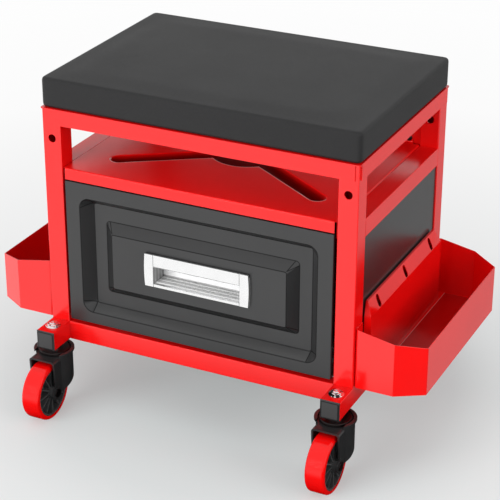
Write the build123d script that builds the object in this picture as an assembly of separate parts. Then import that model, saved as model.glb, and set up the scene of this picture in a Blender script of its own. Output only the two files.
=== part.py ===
from build123d import *
import math
import os

os.makedirs("parts", exist_ok=True)

# Workshop stool on four swivel casters: a padded seat over a tube frame, with a tool shelf,
# one drawer and a sheet-steel bin on each side. Millimetres, +Z up, the drawer opens along -Y.
# The origin is on the floor under the middle of the stool.

# Running play and overruns
play = 0.05                   # round running fits
slip = 0.3                    # gap between faces that slide or turn past each other
nest = 0.2                    # gap of a sheet flange over the piece it covers
overrun = 5.0                 # how far a cutting body runs past the face it cuts

# Frame of square tube
tube_size = 22.0
tube_wall = 1.5
tube_corner = 1.2
frame_width = 363.0           # over the outer faces of the legs
frame_depth = 251.2           # over the front and rear faces of the legs
caster_height = 80.5          # floor to the underside of the side tubes
leg_height = 249.3
side_tube_length = 317.0      # without its end caps
upper_rail_height = 20.0
rear_rail_depth = 20.0        # the upper rear rail is the same tube laid on edge
drawer_bay_height = 164.0     # top of the side tubes to the underside of the upper rails
leg_hole_radius = 4.5
leg_hole_drop = 32.8          # hole centre below the top of the leg

# Tube end caps
cap_plate = 1.5
cap_plug_length = 10.0
cap_plug_play = 0.1
cap_bevel = 1.3

# Seat
pan_sheet = 1.2
pan_flange = 17.7             # outside height of the pan
pan_relief = 5.6              # cut-out of each flange at the corner
pan_corner = 2.5
seat_side_inset = 0.4         # inside the pan's side faces
seat_end_inset = 1.5          # inside the pan's front and rear faces
seat_thickness = 35.0
seat_corner = 6.0             # rounding of the upright edges
seat_edge = 4.0               # rounding of the top edge
seat_crown = 1.6              # rise of the middle above the rounded edge
seat_draw = 0.9               # how far the middle of each side is drawn in
cover_wall = 1.0
cover_wrap = 28.0             # width of the cover's turn-under
board_thickness = 8.0
seat_screw_radius = 2.0
seat_screw_head_radius = 4.5
seat_screw_head = 2.0
seat_screw_bite = 6.0         # length inside the board
seat_screw_inset = 45.0       # from the edges of the pan
# Height share of the seat's side, and inset as a share of the edge rounding
side_shares = ((0.0, 0.45), (0.04, 0.0), (0.5, 0.0), (0.87, 0.0), (0.93, 0.12), (0.975, 0.45), (1.0, 1.0))
# Height share of the crown, and inset as a share of the seat's half depth
crown_shares = ((0.45, 0.16), (0.8, 0.42), (1.0, 0.8))

# Tool shelf
shelf_sheet = 1.2
shelf_front_flange = 13.0
shelf_side_flange = 18.5
shelf_relief = 3.0            # gap between the front flange and each leg
upstand_height = 20.0
upstand_relief = 7.5          # gap between the upstand and each leg
upstand_hole_inset = 5.0      # from the end of the upstand
shelf_screw_rise = 6.0        # above the shelf
shelf_screw_radius = 2.0
shelf_screw_head_radius = 3.6
shelf_screw_head = 1.6
shelf_screw_bite = 2.0        # inside the rear rail's wall
groove_reach = 150.0          # centre of the shelf to the tip of an arm
groove_width = 20.0
groove_disc_radius = 41.0
groove_depth = 5.0
groove_angle = 33.7

# Cabinet sheets
panel_sheet = 1.0
panel_inset = 1.5             # from the outer faces of the legs

# Drawer front: a pressed sheet with a sunk border and a raised field
front_sheet = 1.0
front_side_gap = 3.0          # to the legs
front_bottom_gap = 4.9        # to the front rail
front_top_gap = 1.3           # to the shelf's flange
front_proud = 0.8             # ahead of the legs
border_width = 16.8
border_top = 16.7
border_bottom = 13.5
front_return = 6.0            # depth of the turned edges
relief_depth = 13.1
moat_wall_side = 10.8         # run of the side walls
moat_wall_bottom = 7.0
moat_wall_top = 9.0
moat_floor_side = 14.7        # width of the sunk floor beside the field
moat_floor_bottom = 17.1
moat_floor_top = 18.5
field_drop = 3.9              # the raised field lies this far behind the border
field_wall_side = 11.0
field_wall_bottom = 9.2
field_wall_top = 10.9
moat_corner = 13.0
moat_floor_corner = 6.0
field_base_corner = 5.0
field_corner = 3.0

# Drawer box
box_sheet = 1.0
box_height = 120.0
box_bottom_rise = 9.5         # above the side tubes
box_depth = 212.0
box_hem = 6.0

# Cup pull
pull_width = 102.8            # between the end caps
pull_cap_width = 9.8
pull_cap_bulge = 0.9
pull_height = 37.5
pull_lift = 2.0               # middle of the pull above the middle of the field
pull_lip_top = 13.8
pull_lip_bottom = 3.3
pull_lip_thick = 2.4
pull_cup_depth = 23.0
pull_cup_wall = 1.5
pull_rib = 0.6
pull_rib_width = 1.2
pull_rib_count = 5
pull_screw_radius = 2.0
pull_screw_head_radius = 3.8
pull_screw_head = 2.0
pull_screw_bite = 2.4

# Drawer slides
slide_thickness = 12.7
slide_height = 35.0
slide_sheet = 1.2
slide_head_room = 2.0         # room for a screw head between two members
slide_rise = 5.0              # above the side tubes
slide_setback = 6.0           # behind the front of the legs
slide_rear_gap = 13.2         # to the rear face of the rear legs
slide_lap = 2.4               # how far a member stays inside the next one's open side
slide_screw_radius = 2.0
slide_screw_head_radius = 3.4
slide_screw_head = 1.4
slide_screw_bite = 2.0
slide_screw_inset = 4.5       # from the ends of the member

# Side bins
bin_sheet = 1.0
bin_reach = 73.5              # leg face to the long outer wall
bin_end_reach = 43.7          # leg face to the start of the chamfer
bin_chamfer = 17.9
bin_end_setback = 2.3         # end wall behind the face of the leg
bin_rise = 0.6                # underside above the foot of the leg
bin_leg_height = 68.1         # height of the wall at the leg
bin_outer_height = 54.2       # height of the wall at its outer edge
bin_flange = 18.3
bin_bend = 4.0
bin_fold = 1.8
rack_standoff = 9.2           # leg face to the outer face of the back plate
rack_end_gap = 0.4            # to the legs
rack_height = 73.9            # underside of the bin to the fold of the lip
rack_return = 7.8             # depth of the turned ends
rack_gap = 0.4                # behind the lip's top edge, inside the fold
rack_tail = 5.0               # how far the turned-down sheet runs below the fold
lip_rise = 15.2
lip_lean = 6.6
lip_taper = 6.6               # how far each end of the lip is drawn in at its top
slot_length = 14.2
slot_width = 7.4
slot_pitch = 76.0
slot_count = 3
slot_middle_share = 0.47      # of the lip's height

# Casters
tyre_radius = 32.5
tyre_width = 22.0
tyre_shoulder = 3.2
hub_radius = 27.8
hub_width = 20.4
hub_rim = 2.4
hub_web = 2.6
hub_boss_radius = 7.0
spoke_width = 1.5
spoke_setback = 1.2
spoke_count = 12
axle_radius = 4.0
axle_head_radius = 5.0
axle_head = 1.2
caster_trail = 22.7
caster_inset = 16.0           # swivel axis in from the end of the side tube
fork_width = 31.8
fork_wall = 2.0
fork_front = 27.2             # swivel axis to the front edge of the crown
fork_lean = 3.5               # how far the front edges of the cheeks lean back
fork_body_radius = 20.5
fork_wheel_gap = 5.0          # over the tyre
fork_back_gap = 2.5           # behind the tyre
fork_crown = 2.2
fork_arch_corner = 2.5
fork_edge = 4.0
fork_back_height = 26.0       # foot of the rear hood below the crown's top
fork_foot_drop = 7.0          # lower end of the cheeks below the axle
fork_boss_radius = 8.0
fork_boss_proud = 0.5
cup_height = 3.8
cup_wall = 1.6
cup_rim_radius = 22.5
cup_rim_height = 2.4
race_radius = 17.4
race_height = 3.7
stem_radius = 4.0
stem_collar_radius = 6.8
stem_head_radius = 6.5
stem_head = 1.4
stem_end = 0.9                # above the nut
stem_socket_radius = 1.7
stem_socket_depth = 2.0
nut_flange_radius = 8.4
nut_flange = 1.2
nut_radius = 6.2
nut_height = 3.4
nut_edge = 1.0

# Places worked out from the sizes above
tube_top = caster_height + tube_size
leg_top = tube_top + leg_height
half_width = frame_width / 2
half_depth = frame_depth / 2
inner_half_width = half_width - tube_size
inner_half_depth = half_depth - tube_size
tube_half_length = side_tube_length / 2
tube_centre_x = half_width - tube_size / 2
rear_rail_front = half_depth - rear_rail_depth
rail_bottom = tube_top + drawer_bay_height
rail_top = rail_bottom + upper_rail_height
shelf_top = rail_top + shelf_sheet
seat_bottom = leg_top + pan_sheet
pan_half_width = half_width + nest + pan_sheet
pan_half_depth = half_depth + nest + pan_sheet
seat_half_width = pan_half_width - seat_side_inset
seat_half_depth = pan_half_depth - seat_end_inset
front_face = -(half_depth + front_proud)
front_half = inner_half_width - front_side_gap
front_bottom = tube_top + front_bottom_gap
front_top = shelf_top - shelf_front_flange - front_top_gap
moat_low = front_bottom + border_bottom
moat_high = front_top - border_top
box_front = front_face + relief_depth + front_sheet
box_half = inner_half_width - slide_thickness
box_bottom = tube_top + box_bottom_rise
box_top = box_bottom + box_height
box_back = box_front + box_depth
field_face = front_face + field_drop
field_low = moat_low + moat_wall_bottom + moat_floor_bottom + field_wall_bottom
field_high = moat_high - moat_wall_top - moat_floor_top - field_wall_top
pull_middle = (field_low + field_high) / 2 + pull_lift
slide_bottom = tube_top + slide_rise
slide_middle_height = slide_bottom + slide_height / 2
slide_front = -half_depth + slide_setback
slide_length = frame_depth - slide_setback - slide_rear_gap
bin_bottom = tube_top + bin_rise
swivel_y = tube_half_length - caster_inset


def block(low, high):
    """A box between two opposite corners."""
    size = [b - a for a, b in zip(low, high)]
    centre = [(a + b) / 2 for a, b in zip(low, high)]
    return Pos(*centre) * Box(*size)


def rod(radius, start, end, axis):
    """A round bar along an axis, from one point on its centre line to the other end's place."""
    place = Vector(*start)
    length = end - getattr(place, axis)
    direction = {"X": (1, 0, 0), "Y": (0, 1, 0), "Z": (0, 0, 1)}[axis]
    plane = Plane(origin=place, z_dir=direction)
    return extrude(plane * Circle(radius), amount=length)


def square_tube(length, width, height, axis):
    """A hollow tube centred on the origin, with rounded outer corners."""
    plane = {"X": Plane.YZ, "Y": Plane.XZ, "Z": Plane.XY}[axis]
    section = RectangleRounded(width, height, tube_corner)
    section -= Rectangle(width - 2 * tube_wall, height - 2 * tube_wall)
    return extrude(plane * section, amount=length / 2, both=True)


def both_sides(shape):
    """A right-hand piece and its mirror image on the left."""
    return {"right": shape, "left": mirror(shape, about=Plane.YZ)}


def group(shapes):
    """Separate solids kept in one node."""
    solids = []
    for shape in shapes:
        solids.extend(shape.solids())
    return Compound(children=solids)


def save(name, shape):
    """Write one sub-part under the node's name."""
    solids = shape.solids()
    whole = solids[0] if len(solids) == 1 else Compound(children=solids)
    export_step(whole, "parts/" + name + ".step")


def cushion_section(half_x, half_y, corner, height):
    """A closed outline of four slightly drawn-in sides and four round corners."""
    flat_x, flat_y = half_x - corner, half_y - corner
    turn = corner * math.sqrt(0.5)
    corner_x, corner_y = flat_x + turn, flat_y + turn
    draw_x, draw_y = half_x - seat_draw, half_y - seat_draw
    edges = [
        ThreePointArc((-flat_x, -half_y), (0, -draw_y), (flat_x, -half_y)),
        ThreePointArc((flat_x, -half_y), (corner_x, -corner_y), (half_x, -flat_y)),
        ThreePointArc((half_x, -flat_y), (draw_x, 0), (half_x, flat_y)),
        ThreePointArc((half_x, flat_y), (corner_x, corner_y), (flat_x, half_y)),
        ThreePointArc((flat_x, half_y), (0, draw_y), (-flat_x, half_y)),
        ThreePointArc((-flat_x, half_y), (-corner_x, corner_y), (-half_x, flat_y)),
        ThreePointArc((-half_x, flat_y), (-draw_x, 0), (-half_x, -flat_y)),
        ThreePointArc((-half_x, -flat_y), (-corner_x, -corner_y), (-flat_x, -half_y)),
    ]
    return Pos(0, 0, height) * make_face(Wire(edges))


def cushion_body(skin):
    """The seat's closed form, drawn in by a skin thickness on every side."""
    half_x, half_y = seat_half_width - skin, seat_half_depth - skin
    corner = seat_corner - skin
    base = seat_bottom + skin
    side = seat_thickness - seat_crown - 2 * skin
    sections = []
    for height_share, inset_share in side_shares:
        inset = inset_share * (seat_edge - skin)
        sections.append(cushion_section(half_x - inset, half_y - inset, corner, base + side * height_share))
    for height_share, inset_share in crown_shares:
        inset = max(inset_share * half_y, seat_edge)
        height = base + side + seat_crown * height_share
        sections.append(cushion_section(half_x - inset, half_y - inset, corner, height))
    return loft(sections, ruled=True)


def seat_screw_places():
    """Plan positions of the screws that hold the seat to its pan."""
    x = seat_half_width - seat_screw_inset
    y = seat_half_depth - seat_screw_inset
    return [(sx * x, sy * y) for sx in (-1, 1) for sy in (-1, 1)]


def make_seat():
    """Cover, foam and board of the cushion."""
    inside = cushion_body(cover_wall)
    reach_x, reach_y = seat_half_width, seat_half_depth
    board_bottom = seat_bottom + cover_wall
    board_top = board_bottom + board_thickness
    below = block((-reach_x, -reach_y, seat_bottom), (reach_x, reach_y, board_top))
    wrap_x, wrap_y = reach_x - cover_wrap, reach_y - cover_wrap
    mouth = block((-wrap_x, -wrap_y, seat_bottom - overrun), (wrap_x, wrap_y, board_bottom))
    cover = cushion_body(0) - inside - mouth
    board = inside & below
    foam = inside - below
    for x, y in seat_screw_places():
        top = board_bottom + seat_screw_bite
        board -= rod(seat_screw_radius + play, (x, y, board_bottom - overrun), top, "Z")
    save("seat_cover", cover)
    save("seat_foam", foam)
    save("seat_board", board)


def make_seat_pan():
    """The sheet pan over the legs, its flanges cut back at the corners."""
    x, y = pan_half_width, pan_half_depth
    bottom = seat_bottom - pan_flange
    pan = block((-x, -y, bottom), (x, y, seat_bottom))
    pan = fillet(pan.edges().filter_by(Axis.Z), pan_corner)
    pan -= block((-x + pan_sheet, -y + pan_sheet, bottom - overrun), (x - pan_sheet, y - pan_sheet, leg_top))
    for sx in (-1, 1):
        for sy in (-1, 1):
            low_x, high_x = sorted((sx * (x - pan_relief), sx * (x + overrun)))
            low_y, high_y = sorted((sy * (y - pan_relief), sy * (y + overrun)))
            pan -= block((low_x, low_y, bottom - overrun), (high_x, high_y, leg_top))
    for hole_x, hole_y in seat_screw_places():
        pan -= rod(seat_screw_radius + play, (hole_x, hole_y, leg_top - overrun), seat_bottom + overrun, "Z")
    save("seat_pan", pan)
    screws = []
    for hole_x, hole_y in seat_screw_places():
        top = seat_bottom + cover_wall + seat_screw_bite
        shank = rod(seat_screw_radius, (hole_x, hole_y, leg_top), top, "Z")
        head = rod(seat_screw_head_radius, (hole_x, hole_y, leg_top - seat_screw_head), leg_top, "Z")
        screws.append(head + shank)
    save("seat_screws", group(screws))


def slide_screw_ys():
    """Places of a slide's screws along its length."""
    return (slide_front + slide_screw_inset, slide_front + slide_length - slide_screw_inset)


def make_legs():
    """Four upright tubes with a cross hole near the top."""
    leg = Pos(0, 0, tube_top + leg_height / 2) * square_tube(leg_height, tube_size, tube_size, "Z")
    middle_y = half_depth - tube_size / 2
    hole_height = leg_top - leg_hole_drop
    for row, sign in (("front", -1), ("rear", 1)):
        piece = Pos(tube_centre_x, sign * middle_y, 0) * leg
        near = sign * (half_depth + overrun)
        far = sign * (inner_half_depth - overrun)
        piece -= rod(leg_hole_radius, (tube_centre_x, min(near, far), hole_height), max(near, far), "Y")
        for y in slide_screw_ys():
            start = (inner_half_width - overrun, y, slide_middle_height)
            piece -= rod(slide_screw_radius + play, start, inner_half_width + tube_wall, "X")
        for side, shape in both_sides(piece).items():
            save("leg_" + row + "_" + side, shape)


def make_rails():
    """Side tubes with stem holes, lower cross rails and upper rails."""
    height = caster_height + tube_size / 2
    side_tube = Pos(tube_centre_x, 0, height) * square_tube(side_tube_length, tube_size, tube_size, "Y")
    for sign in (-1, 1):
        hole = (tube_centre_x, sign * swivel_y, caster_height - overrun)
        side_tube -= rod(stem_radius + play, hole, tube_top + overrun, "Z")
    for side, shape in both_sides(side_tube).items():
        save("side_tube_" + side, shape)
    middle_y = half_depth - tube_size / 2
    cross = square_tube(2 * inner_half_width, tube_size, tube_size, "X")
    save("front_rail", Pos(0, -middle_y, height) * cross)
    save("rear_rail", Pos(0, middle_y, height) * cross)
    upper_height = rail_bottom + upper_rail_height / 2
    upper = square_tube(2 * inner_half_depth, tube_size, upper_rail_height, "Y")
    for side, shape in both_sides(Pos(tube_centre_x, 0, upper_height) * upper).items():
        save("upper_rail_" + side, shape)
    rear_height = rail_top + tube_size / 2
    rear = square_tube(2 * inner_half_width, tube_size, rear_rail_depth, "X")
    rear = Pos(0, rear_rail_front + rear_rail_depth / 2, rear_height) * Rot(90, 0, 0) * rear
    for x, height in shelf_screw_places():
        start = (x, rear_rail_front - overrun, height)
        rear -= rod(shelf_screw_radius + play, start, rear_rail_front + tube_wall, "Y")
    save("upper_rail_rear", rear)


def make_tube_caps():
    """Plastic end plugs of the side tubes."""
    height = caster_height + tube_size / 2
    plate = Rectangle(tube_size, tube_size)
    plug_size = tube_size - 2 * tube_wall - 2 * cap_plug_play
    cap = extrude(Plane.XZ * plate, amount=cap_plate)
    cap = chamfer(cap.faces().sort_by(Axis.Y)[0].edges(), cap_bevel)
    cap += extrude(Plane.XZ * Rectangle(plug_size, plug_size), amount=-cap_plug_length)
    caps = []
    for x in (-tube_centre_x, tube_centre_x):
        caps.append(Pos(x, -tube_half_length, height) * cap)
        caps.append(Pos(x, tube_half_length, height) * Rot(0, 0, 180) * cap)
    save("tube_caps", group(caps))


def groove_form(skin):
    """The round-bottomed hollow of two crossed arms and a centre disc, grown by a skin."""
    radius = groove_depth / 2 + groove_width ** 2 / (8 * groove_depth)
    height = shelf_top - groove_depth + radius
    end = groove_reach - groove_width / 2
    arm = rod(radius + skin, (-end, 0, height), end, "X")
    for x in (-end, end):
        arm += Pos(x, 0, height) * Sphere(radius + skin)
    depth = groove_depth + skin
    disc = Cone(groove_disc_radius - depth + skin, groove_disc_radius + skin, depth)
    form = Pos(0, 0, shelf_top - depth / 2) * disc
    for angle in (groove_angle, -groove_angle):
        form += Rot(0, 0, angle) * arm
    return form


def shelf_screw_places():
    """Plan position and height of the screws through the shelf's upstand."""
    x = inner_half_width - upstand_relief - upstand_hole_inset
    return [(sign * x, shelf_top + shelf_screw_rise) for sign in (-1, 1)]


def make_tool_shelf():
    """The pressed shelf: front flange, side flanges, rear upstand and groove."""
    back = rear_rail_front
    underside = shelf_top - shelf_sheet
    reach = inner_half_width
    end = reach - upstand_relief
    shelf = block((-reach, -inner_half_depth, underside), (reach, inner_half_depth, shelf_top))
    shelf += block((-end, inner_half_depth, underside), (end, back, shelf_top))
    front = reach - shelf_relief
    lip = -half_depth + shelf_sheet
    shelf += block((-reach, lip, underside), (reach, -inner_half_depth, shelf_top))
    shelf += block((-front, -half_depth, shelf_top - shelf_front_flange), (front, lip, shelf_top))
    for sign in (-1, 1):
        low, high = sorted((sign * (reach - shelf_sheet), sign * reach))
        shelf += block((low, lip, shelf_top - shelf_side_flange), (high, inner_half_depth, underside))
    shelf += block((-end, back - shelf_sheet, underside), (end, back, shelf_top + upstand_height))
    for x, height in shelf_screw_places():
        shelf -= rod(shelf_screw_radius + play, (x, back - overrun, height), back + overrun, "Y")
    room = block((-reach, -inner_half_depth, underside - groove_depth), (reach, inner_half_depth, shelf_top))
    shelf += groove_form(shelf_sheet) & room
    shelf -= groove_form(0)
    save("tool_shelf", shelf)
    screws = []
    for x, height in shelf_screw_places():
        face = back - shelf_sheet
        tip = rear_rail_front + tube_wall + shelf_screw_bite
        shank = rod(shelf_screw_radius, (x, face, height), tip, "Y")
        head = rod(shelf_screw_head_radius, (x, face - shelf_screw_head, height), face, "Y")
        screws.append(shank + head)
    save("shelf_screws", group(screws))


def make_panels():
    """Sheets between the legs at the sides and the back."""
    outer = half_width - panel_inset
    side = block((outer - panel_sheet, -inner_half_depth, tube_top), (outer, inner_half_depth, rail_bottom))
    for name, shape in both_sides(side).items():
        save("side_panel_" + name, shape)
    back = half_depth - panel_inset
    save("back_panel", block((-inner_half_width, back - panel_sheet, tube_top),
                             (inner_half_width, back, rail_top)))


def front_plane(y, height):
    """A drawing plane that faces the front, centred on the stool."""
    return Plane(origin=(0, y, height), x_dir=(1, 0, 0), z_dir=(0, -1, 0))


def frustum(y_a, edges_a, corner_a, y_b, edges_b, corner_b):
    """A rounded block between two upright rectangles, each given as half width, low and high edge."""
    faces = []
    for y, (half, low, high), corner in ((y_a, edges_a, corner_a), (y_b, edges_b, corner_b)):
        faces.append(front_plane(y, (low + high) / 2) * RectangleRounded(2 * half, high - low, corner))
    return loft(faces, ruled=True)


def relief_body(shift):
    """The solid behind the pressed front's surface, moved back by a shift."""
    moat = (front_half - border_width, moat_low, moat_high)
    floor = (moat[0] - moat_wall_side, moat_low + moat_wall_bottom, moat_high - moat_wall_top)
    base = (floor[0] - moat_floor_side, floor[1] + moat_floor_bottom, floor[2] - moat_floor_top)
    field = (base[0] - field_wall_side, field_low, field_high)
    floor_y = front_face + relief_depth
    body = block((-front_half, front_face, front_bottom), (front_half, floor_y + front_sheet, front_top))
    body -= frustum(front_face, moat, moat_corner, floor_y, floor, moat_floor_corner)
    body += frustum(floor_y, base, field_base_corner, field_face, field, field_corner)
    return Pos(0, shift, 0) * body


def pull_cup_outline(grow):
    """Half width, low and high edge of the cup behind the pull."""
    half = pull_width / 2 + grow
    low = pull_middle - pull_height / 2 + pull_lip_bottom - grow
    high = pull_middle + pull_height / 2 - pull_cup_wall - pull_lip_bottom / 2 + grow
    return half, low, high


def pull_screw_x():
    """Distance of the pull's screws from the middle."""
    return pull_width / 2 + pull_cup_wall + pull_screw_head_radius + slip


def make_drawer_front():
    """The pressed front with turned edges and the opening for the pull."""
    front = relief_body(0) - relief_body(front_sheet)
    edge = front_face + front_return
    rim = block((-front_half, front_face, front_bottom), (front_half, edge, front_top))
    rim -= block((-front_half + front_sheet, front_face - overrun, front_bottom + front_sheet),
                 (front_half - front_sheet, edge + overrun, front_top - front_sheet))
    front += rim
    half, low, high = pull_cup_outline(pull_cup_wall + slip)
    front -= block((-half, field_face - overrun, low), (half, box_front, high))
    for sign in (-1, 1):
        start = (sign * pull_screw_x(), field_face - overrun, pull_middle)
        front -= rod(pull_screw_radius + play, start, box_front, "Y")
    save("drawer_front", front)


def make_drawer_box():
    """The open-topped box with a turned hem along its rim."""
    box = block((-box_half, box_front, box_bottom), (box_half, box_back, box_top))
    box -= block((-box_half + box_sheet, box_front + box_sheet, box_bottom + box_sheet),
                 (box_half - box_sheet, box_back - box_sheet, box_top - box_sheet))
    box -= block((-box_half + box_hem, box_front + box_hem, box_bottom + box_sheet),
                 (box_half - box_hem, box_back - box_hem, box_top + overrun))
    half, low, high = pull_cup_outline(pull_cup_wall + slip)
    box -= block((-half, box_front - overrun, low), (half, box_front + box_hem + overrun, high))
    for sign in (-1, 1):
        start = (sign * pull_screw_x(), box_front - overrun, pull_middle)
        box -= rod(pull_screw_radius + play, start, box_front + box_sheet, "Y")
        bite = slide_screw_bite + box_sheet
        low_x, high_x = sorted((sign * (box_half - bite), sign * (box_half + overrun)))
        for y in slide_screw_ys():
            start = (low_x, drawer_screw_y(y), slide_middle_height)
            box -= rod(slide_screw_radius + play, start, high_x, "X")
    save("drawer_box", box)


def drawer_screw_y(y):
    """A slide screw's place on the drawer, kept inside the box's own length."""
    return min(max(y, box_front + slide_screw_inset), box_back - slide_screw_inset)


def make_pull():
    """The cup pull, its end caps and the screws from inside the drawer."""
    half = pull_width / 2
    low, high = pull_middle - pull_height / 2, pull_middle + pull_height / 2
    cup_half, cup_low, cup_high = pull_cup_outline(0)
    back = front_face + pull_cup_depth
    pull = block((-half, front_face, low), (half, field_face, high))
    pull += block((-cup_half - pull_cup_wall, field_face, cup_low - pull_cup_wall),
                  (cup_half + pull_cup_wall, back + pull_cup_wall, cup_high + pull_cup_wall))
    pull -= block((-cup_half, front_face + pull_lip_thick, cup_low), (cup_half, back, cup_high))
    pull -= block((-cup_half, front_face - overrun, cup_low), (cup_half, back, high - pull_lip_top))
    step = (pull_cup_depth - pull_lip_thick) / (pull_rib_count + 1)
    for index in range(pull_rib_count):
        y = front_face + pull_lip_thick + step * (index + 1)
        pull += block((-cup_half, y - pull_rib_width / 2, cup_low),
                      (cup_half, y + pull_rib_width / 2, cup_low + pull_rib))
    save("handle_cup", pull)
    middle = (low + high) / 2
    outline = Polyline((half, high), (half, low), (half + pull_cap_width, low))
    bulge = half + pull_cap_width + pull_cap_bulge
    outline += ThreePointArc((half + pull_cap_width, low), (bulge, middle), (half + pull_cap_width, high))
    outline += Line((half + pull_cap_width, high), (half, high))
    cap = extrude(front_plane(field_face, 0) * make_face(outline), amount=field_drop)
    hole = (pull_screw_x(), field_face - pull_screw_bite, pull_middle)
    cap -= rod(pull_screw_radius + play, hole, field_face + overrun, "Y")
    save("handle_end_caps", group(both_sides(cap).values()))
    inside = box_front + box_sheet
    shank = rod(pull_screw_radius, hole, inside, "Y")
    head = rod(pull_screw_head_radius, (pull_screw_x(), inside, pull_middle), inside + pull_screw_head, "Y")
    save("handle_screws", group(both_sides(shank + head).values()))


def channel(x_web, x_open, low, high, y_low, y_high):
    """A sheet channel along Y: an upright web and two flanges towards its open side."""
    shape = block((min(x_web, x_open), y_low, low), (max(x_web, x_open), y_high, high))
    inner = x_web + slide_sheet if x_open > x_web else x_web - slide_sheet
    past = x_open + overrun if x_open > x_web else x_open - overrun
    shape -= block((min(inner, past), y_low - overrun, low + slide_sheet),
                   (max(inner, past), y_high + overrun, high - slide_sheet))
    return shape


def make_slides():
    """Three nested members on each side, and their screws."""
    y_low, y_high = slide_front, slide_front + slide_length
    outer_x = inner_half_width
    middle_x = outer_x - slide_sheet - slide_head_room
    inner_x = box_half
    step = slide_sheet + slip
    outer_low, outer_high = slide_bottom, slide_bottom + slide_height
    outer = channel(outer_x, inner_x + slide_lap, outer_low, outer_high, y_low, y_high)
    middle_open = inner_x + slide_lap + slide_sheet
    middle = channel(middle_x, middle_open, outer_low + step, outer_high - step, y_low, y_high)
    drawer_low, drawer_high = max(y_low, box_front), min(y_high, box_back)
    inner_open = middle_x - slide_sheet - slip
    inner_low, inner_high = outer_low + 2 * step, outer_high - 2 * step
    inner = channel(inner_x, inner_open, inner_low, inner_high, drawer_low, drawer_high)
    rail_screws, drawer_screws = [], []
    bore = slide_screw_radius + play
    for y in slide_screw_ys():
        outer -= rod(bore, (outer_x - slide_sheet - overrun, y, slide_middle_height), outer_x + overrun, "X")
        seat = outer_x - slide_sheet
        tip = outer_x + tube_wall + slide_screw_bite
        shank = rod(slide_screw_radius, (seat, y, slide_middle_height), tip, "X")
        head = rod(slide_screw_head_radius, (seat - slide_screw_head, y, slide_middle_height), seat, "X")
        rail_screws.append(shank + head)
        own_y = drawer_screw_y(y)
        seat = inner_x + slide_sheet
        inner -= rod(bore, (inner_x - overrun, own_y, slide_middle_height), seat + overrun, "X")
        end = inner_x - box_sheet - slide_screw_bite
        shank = rod(slide_screw_radius, (end, own_y, slide_middle_height), seat, "X")
        head = rod(slide_screw_head_radius, (seat, own_y, slide_middle_height), seat + slide_screw_head, "X")
        drawer_screws.append(shank + head)
    for name, shape in (("outer", outer), ("middle", middle), ("inner", inner)):
        for side, piece in both_sides(shape).items():
            save("slide_" + name + "_" + side, piece)
    for name, screws in (("slide_rail_screws", rail_screws), ("slide_drawer_screws", drawer_screws)):
        save(name, group(piece for screw in screws for piece in both_sides(screw).values()))


def bin_outline():
    """Plan of the right bin's outer faces, with bends at its corners."""
    x_end, x_out = half_width + bin_end_reach, half_width + bin_reach
    y_end = half_depth - bin_end_setback
    y_out = y_end - bin_chamfer
    corners = [(half_width, -y_end), (x_end, -y_end), (x_out, -y_out),
               (x_out, y_out), (x_end, y_end), (half_width, y_end)]
    plan = make_face(Polyline(*corners, close=True))
    folds = plan.vertices().group_by(Axis.X)[1] + plan.vertices().group_by(Axis.X)[2]
    plan = fillet(folds, bin_fold)
    at_leg = plan.vertices().group_by(Axis.X)[0]
    return fillet(at_leg, bin_bend)


def make_bins():
    """Bent wall and the tray with its tool rack, on each side."""
    plan = bin_outline()
    room = offset(plan, amount=-bin_sheet)
    y_end = half_depth - bin_end_setback
    wall = Pos(0, 0, bin_bottom) * extrude(plan - room, amount=bin_leg_height)
    clear_y = y_end - bin_flange
    wall -= block((half_width - overrun, -clear_y, bin_bottom - overrun),
                  (half_width + 2 * bin_sheet, clear_y, bin_bottom + bin_leg_height + overrun))
    slope = (bin_leg_height - bin_outer_height) / bin_reach
    x_far = half_width + bin_reach + overrun
    z_leg = bin_bottom + bin_leg_height
    z_far = z_leg - slope * (bin_reach + overrun)
    z_over = z_leg + overrun
    above = Polyline((half_width, z_leg), (x_far, z_far), (x_far, z_over), (half_width, z_over), close=True)
    wall -= extrude(Plane.XZ * make_face(above), amount=half_depth + overrun, both=True)
    for side, shape in both_sides(wall).items():
        save("bin_wall_" + side, shape)

    plate_in = half_width + rack_standoff - bin_sheet
    half_length = inner_half_depth - rack_end_gap
    floor = Pos(0, 0, bin_bottom) * extrude(room, amount=bin_sheet)
    floor -= block((half_width - overrun, -half_length, bin_bottom - overrun),
                   (plate_in, half_length, bin_bottom + bin_sheet + overrun))
    for side, shape in both_sides(floor + rack_shape(half_length)).items():
        save("bin_tray_" + side, shape)


def rack_form(half_length, skin, low):
    """The closed form that the rack's sheet is folded round, drawn in by a skin."""
    fold = bin_bottom + rack_height
    top = fold + lip_rise - skin
    risen_share = 1 - skin / lip_rise
    out = half_width + rack_standoff - skin
    back = half_width + rack_standoff - rack_return + skin
    back_lean = lip_lean + 2 * bin_sheet + rack_gap - rack_return
    end, top_end = half_length - skin, half_length - skin - lip_taper * risen_share
    section = Polyline((back, low), (out, low), (out, fold), (out - lip_lean * risen_share, top),
                       (back - back_lean * risen_share, top), (back, fold), close=True)
    face = Polyline((-end, low), (end, low), (end, fold), (top_end, top), (-top_end, top), (-end, fold),
                    close=True)
    long_form = extrude(Plane.XZ * make_face(section), amount=half_length, both=True)
    return long_form & extrude(Plane.YZ * make_face(face), amount=half_width + rack_standoff)


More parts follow.
